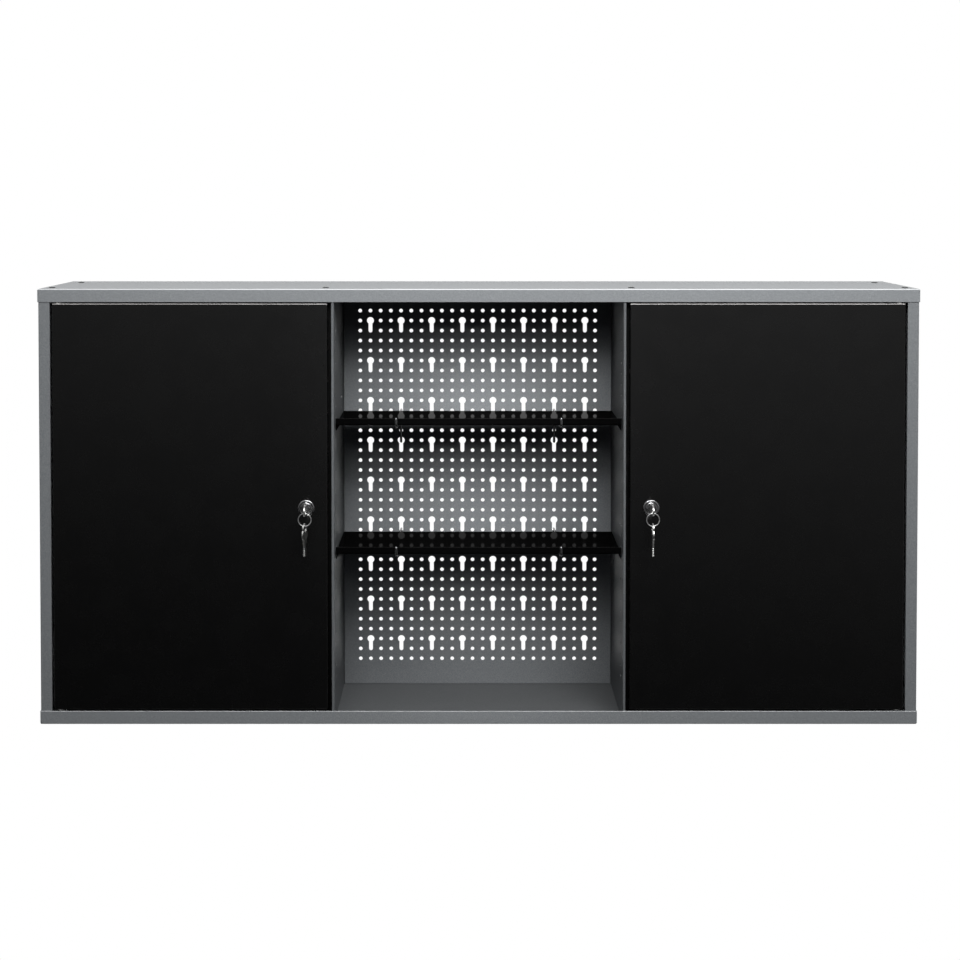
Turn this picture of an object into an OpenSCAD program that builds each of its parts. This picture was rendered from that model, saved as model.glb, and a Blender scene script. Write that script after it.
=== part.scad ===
// Wall-hung steel tool cabinet: two lockable doors beside an open bay with a
// perforated board and two shelves on wire brackets.
// The origin is the middle of the wall-fixing pattern, on the wall.
// X runs to the right, Y into the wall and Z up.

/* [Cabinet] */
// Overall width across the top panel
cabinet_w = 1200; // [1190:2:1230]
// Overall height of the panels, without the screw heads
cabinet_h = 596; // [592:1:604]
// Depth from the wall to the front edges
cabinet_d = 200; // [195:1:215]
// Thickness of the carcass sheet
sheet_t = 1.2; // [1:0.1:1.4]
// Height of the turned edges round the top and bottom panels
flange_h = 18; // [17:0.5:19]
// Distance from the cabinet's side to the inner edge of a side panel's front lip
side_lip_w = 16.6; // [16:0.2:17.4]

/* [Middle bay] */
// Clear width between the two dividers
bay_w = 394; // [390:1:398]
// Width of the narrow front fold of a divider
divider_nose_w = 4.5; // [4:0.1:5]
// Distance from the front plane to the front of the stop flange behind a door
stop_depth = 17.4; // [17.2:0.1:18]
// Reach of the stop flange, from the bay side of the divider
stop_reach = 27; // [25:1:28]

/* [Doors] */
// Gap between a door and the divider's front fold
door_gap_divider = 4.5; // [4:0.1:5]
// Gap between a door and the side panel's front lip
door_gap_lip = 3.2; // [3:0.1:3.6]
// Gap above and below a door
door_gap_z = 2; // [1.8:0.1:2.4]
// Depth of the folded door pan
door_depth = 14; // [13.5:0.5:14]
// Thickness of the door sheet
door_t = 1; // [0.8:0.1:1.1]
// Width of the lips turned inward round the back of a door
door_lip_w = 9; // [8:0.5:10]
// Set-back of the door face from the front plane
door_set_back = 0.4; // [0.3:0.1:0.5]

/* [Hinges] */
// Distance from a door's outer edge to its hinge pins
pivot_inset = 8; // [7.8:0.1:8.4]
// Radius of a hinge pin
pin_r = 2.5; // [2.4:0.1:2.6]
// Running clearance of a pin in its bush, on the radius
pin_gap = 0.05; // [0.03:0.01:0.08]
// Outer radius of the bush that lines the door's edge
bush_r = 4; // [3.8:0.1:4.2]

/* [Locks] */
// Distance of the lock axis from the door's inner edge
lock_inset = 29; // [28:0.5:30]
// Height of the lock axis above the middle of the cabinet
lock_z = -1; // [-4:1:4]
// Radius of the round lock face
rosette_r = 11.3; // [11:0.1:11.6]
// Radius of the lock barrel that passes through the door
barrel_r = 9; // [8.8:0.1:9.2]
// Radius of the turning plug
plug_r = 6; // [5.8:0.1:6.1]
// Running clearance of the plug in its barrel, on the radius
plug_gap = 0.05; // [0.03:0.01:0.08]
// Reach of the cam from the lock axis
cam_reach = 31; // [29:1:32]

/* [Keys] */
// Thickness of a key
key_t = 2; // [1.8:0.1:2]
// Width of the key blade
blade_w = 7; // [6.6:0.1:7.2]
// Radius of the hole in the key bow
bow_hole_r = 4.2; // [4.1:0.1:4.3]
// Radius of the key ring, to the middle of its wire
ring_r = 8.65; // [8.5:0.05:8.8]
// Radius of the key ring's wire
ring_wire_r = 0.6; // [0.5:0.05:0.65]
// Turn of the left spare key on its ring, in degrees
left_spare_turn = 15; // [0:1:30]

/* [Perforated board] */
// Distance from the wall to the face of the perforated board
board_y = 22; // [21:0.5:23]
// Number of hole columns
hole_columns = 24; // [24]
// Number of hole rows
hole_rows = 36; // [36]
// Distance between hole columns
hole_pitch_x = 15; // [14.8:0.1:15.2]
// Distance between hole rows
hole_pitch_z = 14.7; // [14.6:0.1:14.8]
// Radius of a round hole
hole_r = 2.95; // [2.8:0.05:3]
// Radius of a keyhole's head
keyhole_head_r = 5.25; // [5:0.05:5.4]
// Height of the top hole row above the middle of the cabinet
top_row_z = 256; // [254:1:258]

/* [Open shelves] */
// Width of a shelf in the middle bay
shelf_w = 390; // [384:1:391]
// Depth of a shelf in the middle bay
shelf_d = 146; // [140:1:148]
// Thickness of the shelf sheet
shelf_t = 1; // [0.8:0.1:1.2]
// Height of the front lip
shelf_lip_h = 10; // [9:0.5:11]
// Radius of the bracket wire
wire_r = 2; // [1.8:0.1:2]
// Height of the upturned nose in front of the lip, from the middle of the arm
nose_h = 13.5; // [12:0.5:15]

/* [Inner shelves] */
// Depth of a shelf behind a door
inner_shelf_d = 168; // [160:1:168]
// Height of the turned edges of an inner shelf
inner_edge_h = 15; // [12:1:16]
// Radius of the shelf-clip holes
clip_hole_r = 2.5; // [2.4:0.1:2.6]
// Distance between clip holes
clip_pitch = 15; // [15]
// Number of clip holes above and below the middle of the cabinet
clip_holes_half = 16; // [14:1:17]

/* [Fixings] */
// Sideways distance between the wall-fixing holes
wall_hole_span_x = 1080; // [1040:10:1100]
// Upright distance between the wall-fixing holes
wall_hole_span_z = 500; // [460:10:520]
// Radius of a wall-fixing hole
wall_hole_r = 4; // [3.5:0.5:4.5]
// Radius of the domed heads on the top and bottom panels
screw_head_r = 4.75; // [4.5:0.05:5]
// Height of the domed heads
screw_head_h = 2.4; // [2.2:0.1:2.8]

/* [Hidden] */
$fn = 48;

paint = [0.55, 0.57, 0.59];
black = [0.04, 0.04, 0.045];
steel = [0.72, 0.72, 0.74];
nylon = [0.85, 0.85, 0.82];
dark_rubber = [0.08, 0.08, 0.08];

// A cut runs this far past the face that it opens
over = 1;

// Planes of the carcass
half_w = cabinet_w / 2;
half_h = cabinet_h / 2;
front_y = -cabinet_d;
inner_z = half_h - sheet_t;
side_x = half_w - sheet_t;
side_inner_x = side_x - sheet_t;
lip_y = front_y + sheet_t;
rear_y = -sheet_t;
lip_edge_x = half_w - side_lip_w;
flange_in = 28;
flange_start_y = front_y + 20;
flange_end_y = -10;
side_rear_flange = 20;
corner_slit = 0.1;

// Planes of a divider
web_x = bay_w / 2;
web_out_x = web_x + sheet_t;
nose_x = web_x + divider_nose_w;
stop_y = front_y + stop_depth;
divider_rear_flange = 18;

// Planes of a door
door_in_x = nose_x + door_gap_divider;
door_out_x = lip_edge_x - door_gap_lip;
door_z = half_h - flange_h - door_gap_z;
face_y = front_y + door_set_back;
door_back_y = face_y + door_depth;
pivot_x = door_out_x - pivot_inset;
pivot_y = face_y + door_depth / 2;
lock_x = door_in_x + lock_inset;

// Hinge hardware
bush_flange_r = 5.5;
bush_flange_t = 1.2;
bush_l = 8;
bracket_t = 2;
bracket_z = door_z + bush_flange_t + 0.2;
bracket_front_y = lip_y + sheet_t + 0.2;
bracket_back_y = pivot_y + 8.6;
bracket_leg_top = 294;
pin_end_z = door_z - 11;
pin_head_r = 4;
pin_head_h = 2;

// Door stiffener, a hat profile spot-welded inside the skin
hat_w = 40;
hat_foot = 15;
hat_h = 10;
hat_t = 0.8;
hat_half_l = 262;

// Lock, measured along its axis from the door face, outward positive
rosette_h = 2.4;
rosette_edge = 1;
rosette_dish = 1.2;
barrel_l = 17.6;
nut_r = 12.7;
nut_h = 4;
plug_front = 1.6;
plug_back = 18.6;
cam_t = 2;
cam_front = plug_back + 0.2;
cam_w = 14;
shank_w = 6;
keyway_w = key_t + 0.2;
keyway_h = blade_w + 0.4;
keyway_l = 15;
cam_screw_head_r = 4;
cam_screw_head_h = 2.2;
cam_screw_r = 1.5;
cam_screw_l = 3.8;

// Key outline, measured along the key from the door face
blade_tip = -14.5;
shoulder_start = 2.6;
shoulder_w = 10;
bow_r = 9;
bow_pos = 15;
bow_end_r = 6.9;
bow_hole_pos = 23.1;
notch_r = 0.8;
notch_count = 5;
notch_pitch = 2.4;
ring_play = 0.5;
ring_drop = bow_hole_r - ring_wire_r - ring_play;
ring_centre = -ring_drop - ring_r;
ring_bottom = ring_centre - ring_r;
spare_hole = ring_bottom - ring_drop;

// Perforated board
board_edge_gap = 0.2;
board_return = 14;
board_half_w = web_x - board_edge_gap;
slot_r = 3;
keyhole_step_x = 3;
keyhole_step_z = 4;

// Shelves in the middle bay; the bracket arms lie level with two of the hole rows
shelf_front_y = front_y + 4;
shelf_side_h = 8;
shelf_bend_r = 3.2;
wire_bend_r = 5;
hook_bend_r = 4;
leg_bend_r = 3;
leg_wire_r = wire_r - 0.1;
nose_y = shelf_front_y - wire_r - 0.2;
hook_y = -12;
hook_h = 9;
leg_y = -board_y - leg_wire_r - 0.3;
leg_end_y = -board_y + 5;
upper_arm_row = 10;
lower_arm_row = 22;
bracket_column = 4;
upper_arm_z = top_row_z - upper_arm_row * hole_pitch_z;
lower_arm_z = top_row_z - lower_arm_row * hole_pitch_z;
upper_leg_l = 3 * hole_pitch_z + 2.2;
lower_leg_l = 2 * hole_pitch_z;
bracket_x = (hole_columns - 1) * hole_pitch_x / 2 - bracket_column * hole_pitch_x;

// Shelf clips and rails behind the doors
rail_t = 1;
rail_depth = 10;
rail_w = 20;
rail_half_l = inner_z - 10;
rail_x = side_inner_x - rail_depth;
clip_front_y = front_y + 32;
clip_rear_y = front_y + 140;
clip_columns = [clip_front_y, clip_rear_y];
clip_w = 12;
clip_reach = 10;
clip_plate_t = 2;
clip_below = 8;
clip_above = 4;
clip_pin_r = clip_hole_r - 0.1;
upper_clip_z = 5 * clip_pitch;
lower_clip_z = -7 * clip_pitch;
inner_shelf_t = 1;
inner_shelf_gap = 1;
inner_shelf_front_y = front_y + 24;
inner_shelf_x0 = web_out_x + inner_shelf_gap;
inner_shelf_x1 = rail_x - inner_shelf_gap;

// Screws
front_screw_y = front_y + 27;
rear_screw_y = front_y + 157;
side_screw_inset = 14;
rear_screw_inset = 23;
divider_screw_x = web_x + 13;
panel_screws = [
    [half_w - side_screw_inset, front_screw_y],
    [divider_screw_x, front_screw_y],
    [half_w - rear_screw_inset, rear_screw_y]
];
panel_screw_r = 2;
panel_screw_l = 8;
screw_hole_gap = 0.1;
cross_w = 1;
cross_l = 4.6;
cross_depth = 1.2;
back_screw_x = [half_w - 11.2, web_x + 9.5];
back_screw_z = [-240, 0, 240];
back_screw_r = 1.5;
back_head_r = 3.5;
back_head_h = 2;
back_front_y = rear_y - 2 * sheet_t;

// Bump stops
stop_z = 200;
bump_r = 5;
bump_h = 2.6;
bump_stem_r = 2;
bump_stem_l = 3;
bump_x = nose_x + 10.5;

// Small shared helpers
module block(lo, hi) {
    translate(lo)
        cube(hi - lo);
}

module on_side(s) {
    if (s < 0)
        mirror([1, 0, 0])
            children();
    else
        children();
}

module up_and_down() {
    children();
    mirror([0, 0, 1])
        children();
}

module rod_z(y, z0, z1, r) {
    translate([0, y, z0])
        cylinder(r = r, h = z1 - z0);
}

module rod_y(y0, y1, z, r) {
    translate([0, y0, z])
        rotate([-90, 0, 0])
            cylinder(r = r, h = y1 - y0);
}

module hole_y(x, y0, y1, z, r) {
    translate([x, 0, 0])
        rod_y(y0, y1, z, r);
}

// Lock parts are drawn with local Z out of the door and local Y up
module at_lock() {
    translate([lock_x, face_y, lock_z])
        rotate([90, 0, 0])
            children();
}

// Top and bottom panels: sheets with all four edges turned the same way. The turned edges are
// nodes of their own, so that each keeps its flat shape in collision and the hollow stays open.
module panel_sheet() {
    color(paint)
        difference() {
            block([-half_w, front_y, inner_z], [half_w, 0, half_h]);
            for (s = [-1, 1])
                for (p = panel_screws)
                    translate([s * p[0], p[1], inner_z - over])
                        cylinder(r = panel_screw_r + screw_hole_gap, h = sheet_t + 2 * over);
        }
}

module panel_edges() {
    edge_z = half_h - flange_h;
    color(paint) {
        block([-half_w, front_y, edge_z], [half_w, lip_y, inner_z]);
        block([-half_w, rear_y, edge_z], [half_w, 0, inner_z]);
        for (s = [-1, 1])
            on_side(s)
                block([side_x, lip_y + corner_slit, edge_z], [half_w, rear_y - corner_slit, inner_z]);
    }
}

module top_panel() {
    panel_sheet();
}

module top_panel_edges() {
    panel_edges();
}

module bottom_panel() {
    mirror([0, 0, 1])
        panel_sheet();
}

module bottom_panel_edges() {
    mirror([0, 0, 1])
        panel_edges();
}

// Side panel: one sheet whose folds are a front lip, a rear flange and flanges at both ends
module side_panel(s) {
    color(paint)
        on_side(s)
            block([side_inner_x, lip_y, -inner_z], [side_x, rear_y, inner_z]);
}

module side_folds(s) {
    color(paint)
        on_side(s)
            difference() {
                union() {
                    block([lip_edge_x, lip_y, -inner_z], [side_inner_x, lip_y + sheet_t, inner_z]);
                    block([side_x - side_rear_flange, rear_y - sheet_t, -inner_z],
                        [side_inner_x, rear_y, inner_z]);
                    up_and_down()
                        block([side_x - flange_in, flange_start_y, inner_z - sheet_t],
                            [side_inner_x, flange_end_y, inner_z]);
                }
                for (p = [panel_screws[0], panel_screws[2]])
                    translate([p[0], p[1], -half_h])
                        cylinder(r = panel_screw_r + screw_hole_gap, h = cabinet_h);
                for (z = back_screw_z)
                    hole_y(back_screw_x[0], rear_y - 2 * sheet_t, 0, z, back_screw_r + screw_hole_gap);
            }
}

module left_side_panel() {
    side_panel(-1);
}

module right_side_panel() {
    side_panel(1);
}

module left_side_folds() {
    side_folds(-1);
}

module right_side_folds() {
    side_folds(1);
}

// Divider: a sheet with holes for the shelf clips, and the stop flange that its front fold ends in
module divider(s) {
    color(paint)
        on_side(s) {
            difference() {
                block([web_x, lip_y, -inner_z], [web_out_x, rear_y, inner_z]);
                clip_holes(web_x - over, web_out_x + over);
            }
            difference() {
                block([nose_x, stop_y, -inner_z], [web_x + stop_reach, stop_y + sheet_t, inner_z]);
                for (z = [-stop_z, stop_z])
                    hole_y(bump_x, stop_y - over, stop_y + sheet_t + over, z, bump_stem_r);
            }
        }
}

// The divider's other folds: front nose with its return, rear flange and flanges at both ends
module divider_folds(s) {
    color(paint)
        on_side(s)
            difference() {
                union() {
                    block([web_out_x, lip_y, -inner_z], [nose_x, lip_y + sheet_t, inner_z]);
                    block([nose_x - sheet_t, lip_y, -inner_z], [nose_x, stop_y + sheet_t, inner_z]);
                    block([web_out_x, rear_y - sheet_t, -inner_z],
                        [web_x + divider_rear_flange, rear_y, inner_z]);
                    up_and_down()
                        block([web_out_x, flange_start_y, inner_z - sheet_t],
                            [web_x + flange_in, flange_end_y, inner_z]);
                }
                translate([divider_screw_x, front_screw_y, -half_h])
                    cylinder(r = panel_screw_r + screw_hole_gap, h = cabinet_h);
                for (z = back_screw_z)
                    hole_y(back_screw_x[1], rear_y - 2 * sheet_t, 0, z, back_screw_r + screw_hole_gap);
            }
}

module left_divider() {
    divider(-1);
}

module right_divider() {
    divider(1);
}

module left_divider_folds() {
    divider_folds(-1);
}

module right_divider_folds() {
    divider_folds(1);
}

// Two columns of holes for the shelf clips
module clip_holes(x0, x1) {
    for (y = clip_columns)
        for (i = [-clip_holes_half : clip_holes_half])
            translate([x0, y, i * clip_pitch])
                rotate([0, 90, 0])
                    cylinder(r = clip_hole_r, h = x1 - x0);
}

// Perforated board: a shallow pan with round holes and, in every third column, keyholes
module keyhole() {
    circle(r = keyhole_head_r);
    translate([-slot_r, -hole_pitch_z])
        square([2 * slot_r, hole_pitch_z]);
    translate([0, -hole_pitch_z])
        circle(r = slot_r);
}

module board_holes() {
    for (c = [0 : hole_columns - 1])
        for (r = [0 : hole_rows - 1]) {
            keyed = c % keyhole_step_x == 1;
            head = keyed && r % keyhole_step_z == 1;
            slot_end = keyed && r % keyhole_step_z == 2;
            translate([(c - (hole_columns - 1) / 2) * hole_pitch_x, top_row_z - r * hole_pitch_z]) {
                if (head)
                    keyhole();
                if (!head && !slot_end)
                    circle(r = hole_r);
            }
        }
}

module perforated_board() {
    color(paint)
        difference() {
            block([-board_half_w, -board_y, -inner_z], [board_half_w, -board_y + board_return, inner_z]);
            block([-board_half_w + sheet_t, -board_y + sheet_t, -inner_z + sheet_t],
                [board_half_w - sheet_t, 0, inner_z - sheet_t]);
            translate([0, -board_y + sheet_t + over, 0])
                rotate([90, 0, 0])
                    linear_extrude(sheet_t + 2 * over)
                        board_holes();
        }
}

// Plain back panel behind a door, with the wall-fixing holes
module back_panel(s) {
    color(paint)
        on_side(s)
            difference() {
                block([web_out_x + 0.2, back_front_y, -inner_z + 0.2],
                    [side_inner_x - 0.2, back_front_y + sheet_t, inner_z - 0.2]);
                for (z = [-wall_hole_span_z / 2, wall_hole_span_z / 2])
                    hole_y(wall_hole_span_x / 2, back_front_y - over, rear_y, z, wall_hole_r);
                for (x = back_screw_x)
                    for (z = back_screw_z)
                        hole_y(x, back_front_y - over, rear_y, z, back_screw_r + screw_hole_gap);
            }
}

module left_back_panel() {
    back_panel(-1);
}

module right_back_panel() {
    back_panel(1);
}

// Upright channels with clip holes, welded inside a side panel
module shelf_rails(s) {
    color(paint)
        on_side(s)
            difference() {
                for (y = clip_columns)
                    difference() {
                        block([rail_x, y - rail_w / 2, -rail_half_l],
                            [side_inner_x, y + rail_w / 2, rail_half_l]);
                        block([rail_x + rail_t, y - rail_w / 2 + rail_t, -half_h],
                            [half_w, y + rail_w / 2 - rail_t, half_h]);
                    }
                clip_holes(rail_x - over, rail_x + rail_t + over);
            }
}

module left_shelf_rails() {
    shelf_rails(-1);
}

module right_shelf_rails() {
    shelf_rails(1);
}

// A clip is a small plate with a pin behind it and a ledge in front
module shelf_clip() {
    block([0, -clip_w / 2, -clip_below], [clip_plate_t, clip_w / 2, clip_above]);
    block([0, -clip_w / 2, clip_above - clip_plate_t], [clip_reach, clip_w / 2, clip_above]);
    translate([-sheet_t, 0, 0])
        rotate([0, 90, 0])
            cylinder(r = clip_pin_r, h = sheet_t + clip_plate_t / 2);
}

module shelf_clips(s) {
    color(steel)
        on_side(s)
            for (y = clip_columns)
                for (z = [upper_clip_z, lower_clip_z]) {
                    translate([web_out_x, y, z])
                        shelf_clip();
                    translate([rail_x, y, z])
                        mirror([1, 0, 0])
                            shelf_clip();
                }
}

module left_shelf_clips() {
    shelf_clips(-1);
}

module right_shelf_clips() {
    shelf_clips(1);
}

// Shelf behind a door: a sheet with its four edges turned down
module inner_shelf(s, clip_z) {
    low = clip_z + clip_above;
    high = low + inner_edge_h;
    color(black)
        on_side(s)
            difference() {
                block([inner_shelf_x0, inner_shelf_front_y, low],
                    [inner_shelf_x1, inner_shelf_front_y + inner_shelf_d, high]);
                block([inner_shelf_x0 + inner_shelf_t, inner_shelf_front_y + inner_shelf_t, low - over],
                    [inner_shelf_x1 - inner_shelf_t, inner_shelf_front_y + inner_shelf_d - inner_shelf_t,
                        high - inner_shelf_t]);
            }
}

module left_upper_inner_shelf() {
    inner_shelf(-1, upper_clip_z);
}

module left_lower_inner_shelf() {
    inner_shelf(-1, lower_clip_z);
}

module right_upper_inner_shelf() {
    inner_shelf(1, upper_clip_z);
}

module right_lower_inner_shelf() {
    inner_shelf(1, lower_clip_z);
}

// Sweeps a flat profile through a quarter turn about an axis along X
module quarter_bend(y, z, turn) {
    translate([0, y, z])
        rotate([turn, 0, 0])
            rotate([0, 90, 0])
                rotate_extrude(angle = 90)
                    children();
}

// Open shelf: a sheet with a front lip folded up on a rounded bend, and downturned ends
module open_shelf(arm_z) {
    low = arm_z + wire_r;
    bend_y = shelf_front_y + shelf_bend_r;
    bend_z = low + shelf_bend_r;
    back_edge_y = shelf_front_y + shelf_d;
    color(black) {
        block([-shelf_w / 2, bend_y, low], [shelf_w / 2, back_edge_y, low + shelf_t]);
        quarter_bend(bend_y, bend_z, 270)
            translate([shelf_bend_r - shelf_t, -shelf_w / 2])
                square([shelf_t, shelf_w]);
        block([-shelf_w / 2, shelf_front_y, bend_z],
            [shelf_w / 2, shelf_front_y + shelf_t, low + shelf_lip_h]);
        for (s = [-1, 1])
            on_side(s)
                block([shelf_w / 2 - shelf_t, bend_y, low + shelf_t - shelf_side_h],
                    [shelf_w / 2, back_edge_y, low + shelf_t]);
    }
}

module upper_shelf() {
    open_shelf(upper_arm_z);
}

module lower_shelf() {
    open_shelf(lower_arm_z);
}

// Wire bracket: nose, arm and a hook turned down behind the board, with a leg welded under the arm
module wire_section(bend_r, r) {
    translate([bend_r, 0])
        circle(r = r);
}

module wire_bracket(arm_z, leg_l) {
    leg_bottom = arm_z - leg_l;
    rod_z(nose_y, arm_z + wire_bend_r, arm_z + nose_h, wire_r);
    quarter_bend(nose_y + wire_bend_r, arm_z + wire_bend_r, 270)
        wire_section(wire_bend_r, wire_r);
    rod_y(nose_y + wire_bend_r, hook_y - hook_bend_r, arm_z, wire_r);
    quarter_bend(hook_y - hook_bend_r, arm_z - hook_bend_r, 90)
        wire_section(hook_bend_r, wire_r);
    rod_z(hook_y, arm_z - hook_h, arm_z - hook_bend_r, wire_r);
    rod_z(leg_y, leg_bottom + leg_bend_r, arm_z, leg_wire_r);
    quarter_bend(leg_y + leg_bend_r, leg_bottom + leg_bend_r, 270)
        wire_section(leg_bend_r, leg_wire_r);
    rod_y(leg_y + leg_bend_r, leg_end_y, leg_bottom, leg_wire_r);
}

module shelf_brackets(arm_z, leg_l) {
    color(steel)
        for (s = [-1, 1])
            translate([s * bracket_x, 0, 0])
                wire_bracket(arm_z, leg_l);
}

module upper_shelf_brackets() {
    shelf_brackets(upper_arm_z, upper_leg_l);
}

module lower_shelf_brackets() {
    shelf_brackets(lower_arm_z, lower_leg_l);
}

// Domed screws with a cross recess
module dome(r, h) {
    ball_r = (r * r + h * h) / (2 * h);
    intersection() {
        translate([0, 0, h - ball_r])
            sphere(r = ball_r);
        cylinder(r = r + over, h = h + over);
    }
}

module panel_screw() {
    difference() {
        dome(screw_head_r, screw_head_h);
        for (turn = [0, 90])
            rotate(turn)
                translate([-cross_l / 2, -cross_w / 2, screw_head_h - cross_depth])
                    cube([cross_l, cross_w, screw_head_h]);
    }
    translate([0, 0, -panel_screw_l])
        cylinder(r = panel_screw_r, h = panel_screw_l + screw_head_h / 4);
}

module top_screws() {
    color(steel)
        for (s = [-1, 1])
            for (p = panel_screws)
                translate([s * p[0], p[1], half_h])
                    panel_screw();
}

module bottom_screws() {
    color(steel)
        mirror([0, 0, 1])
            for (s = [-1, 1])
                for (p = panel_screws)
                    translate([s * p[0], p[1], half_h])
                        panel_screw();
}

module back_screws(s) {
    color(steel)
        on_side(s)
            for (x = back_screw_x)
                for (z = back_screw_z)
                    translate([x, back_front_y, z])
                        rotate([90, 0, 0]) {
                            dome(back_head_r, back_head_h);
                            translate([0, 0, -2 * sheet_t])
                                cylinder(r = back_screw_r, h = 2 * sheet_t + back_head_h / 4);
                        }
}

module left_back_screws() {
    back_screws(-1);
}

module right_back_screws() {
    back_screws(1);
}

// Angle brackets that carry the hinge pins, welded to the side panel
module hinge_brackets(s) {
    color(steel)
        on_side(s)
            up_and_down()
                difference() {
                    union() {
                        block([pivot_x - pivot_inset, bracket_front_y, bracket_z],
                            [side_inner_x, bracket_back_y, bracket_z + bracket_t]);
                        block([side_inner_x - bracket_t, bracket_front_y, bracket_z],
                            [side_inner_x, bracket_back_y, bracket_leg_top]);
                    }
                    translate([pivot_x, pivot_y, bracket_z - over])
                        cylinder(r = pin_r, h = bracket_t + 2 * over);
                }
}

module left_hinge_brackets() {
    hinge_brackets(-1);
}

module right_hinge_brackets() {
    hinge_brackets(1);
}

module hinge_pins(s) {
    color(steel)
        on_side(s)
            up_and_down()
                translate([pivot_x, pivot_y, 0]) {
                    translate([0, 0, pin_end_z])
                        cylinder(r = pin_r, h = bracket_z + bracket_t + pin_head_h / 2 - pin_end_z);
                    translate([0, 0, bracket_z + bracket_t])
                        cylinder(r = pin_head_r, h = pin_head_h);
                }
}

module left_hinge_pins() {
    hinge_pins(-1);
}

module right_hinge_pins() {
    hinge_pins(1);
}

// Rubber buttons on the divider's stop flange
module bump_stops(s) {
    color(dark_rubber)
        on_side(s)
            for (z = [-stop_z, stop_z])
                translate([bump_x, stop_y, z])
                    rotate([90, 0, 0]) {
                        cylinder(r1 = bump_r, r2 = bump_r - 0.8, h = bump_h);
                        translate([0, 0, -bump_stem_l])
                            cylinder(r = bump_stem_r, h = bump_stem_l + bump_h / 2);
                    }
}

module left_bump_stops() {
    bump_stops(-1);
}

module right_bump_stops() {
    bump_stops(1);
}

// Door: a folded pan with a lip round its open back
module door(s) {
    color(black)
        on_side(s)
            difference() {
                block([door_in_x, face_y, -door_z], [door_out_x, door_back_y, door_z]);
                block([door_in_x + door_t, face_y + door_t, -door_z + door_t],
                    [door_out_x - door_t, door_back_y - door_t, door_z - door_t]);
                block([door_in_x + door_lip_w, door_back_y - 2 * door_t, -door_z + door_lip_w],
                    [door_out_x - door_lip_w, door_back_y + over, door_z - door_lip_w]);
                hole_y(lock_x, face_y - over, face_y + door_t + over, lock_z, barrel_r);
                translate([pivot_x, pivot_y, -half_h])
                    cylinder(r = bush_r, h = cabinet_h);
            }
}

module left_door() {
    door(-1);
}

module right_door() {
    door(1);
}

module door_stiffener(s) {
    hat_x = (door_in_x + door_out_x) / 2 - hat_w / 2;
    foot_y = face_y + door_t;
    color(black)
        on_side(s) {
            for (x = [hat_x - hat_foot, hat_x + hat_w - hat_t])
                block([x, foot_y, -hat_half_l], [x + hat_foot + hat_t, foot_y + hat_t, hat_half_l]);
            for (x = [hat_x, hat_x + hat_w - hat_t])
                block([x, foot_y, -hat_half_l], [x + hat_t, foot_y + hat_h, hat_half_l]);
            block([hat_x, foot_y + hat_h - hat_t, -hat_half_l], [hat_x + hat_w, foot_y + hat_h, hat_half_l]);
        }
}

module left_door_stiffener() {
    door_stiffener(-1);
}

module right_door_stiffener() {
    door_stiffener(1);
}

// Flanged bushes in the door's top and bottom edges
module hinge_bushes(s) {
    color(nylon)
        on_side(s)
            up_and_down()
                translate([pivot_x, pivot_y, 0])
                    difference() {
                        union() {
                            translate([0, 0, door_z - bush_l])
                                cylinder(r = bush_r, h = bush_l + bush_flange_t / 2);
                            translate([0, 0, door_z])
                                cylinder(r = bush_flange_r, h = bush_flange_t);
                        }
                        translate([0, 0, door_z - bush_l - over])
                            cylinder(r = pin_r + pin_gap, h = bush_l + bush_flange_t + 2 * over);
                    }
}

module left_hinge_bushes() {
    hinge_bushes(-1);
}

module right_hinge_bushes() {
    hinge_bushes(1);
}

// Cam lock: a turned barrel with a dished face, held by a hexagonal nut
module lock_barrel(s) {
    bore_r = plug_r + plug_gap;
    color(steel)
        on_side(s)
            at_lock()
                rotate_extrude()
                    polygon([
                        [bore_r, -barrel_l],
                        [barrel_r, -barrel_l],
                        [barrel_r, 0],
                        [rosette_r, 0],
                        [rosette_r, rosette_h - rosette_edge],
                        [rosette_r - rosette_edge, rosette_h],
                        [bore_r + rosette_dish, rosette_h],
                        [bore_r, rosette_h - rosette_dish]
                    ]);
}

module left_lock_barrel() {
    lock_barrel(-1);
}

module right_lock_barrel() {
    lock_barrel(1);
}

module lock_nut(s) {
    color(steel)
        on_side(s)
            at_lock()
                translate([0, 0, -door_t - nut_h])
                    difference() {
                        cylinder(r = nut_r, h = nut_h, $fn = 6);
                        translate([0, 0, -over])
                            cylinder(r = barrel_r, h = nut_h + 2 * over);
                    }
}

module left_lock_nut() {
    lock_nut(-1);
}

module right_lock_nut() {
    lock_nut(1);
}

// Turning plug with its keyway and the square that drives the cam
module lock_plug(s) {
    color(steel)
        on_side(s)
            at_lock()
                difference() {
                    union() {
                        translate([0, 0, -plug_back])
                            cylinder(r = plug_r, h = plug_back + plug_front);
                        translate([-shank_w / 2, -shank_w / 2, -cam_front - cam_t])
                            cube([shank_w, shank_w, cam_front + cam_t - plug_back + over]);
                    }
                    translate([-keyway_w / 2, -keyway_h / 2, -keyway_l])
                        cube([keyway_w, keyway_h, keyway_l + plug_front + over]);
                    translate([0, 0, -cam_front - cam_t - over])
                        cylinder(r = cam_screw_r, h = cam_screw_l + over);
                }
}

module left_lock_plug() {
    lock_plug(-1);
}

module right_lock_plug() {
    lock_plug(1);
}

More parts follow.
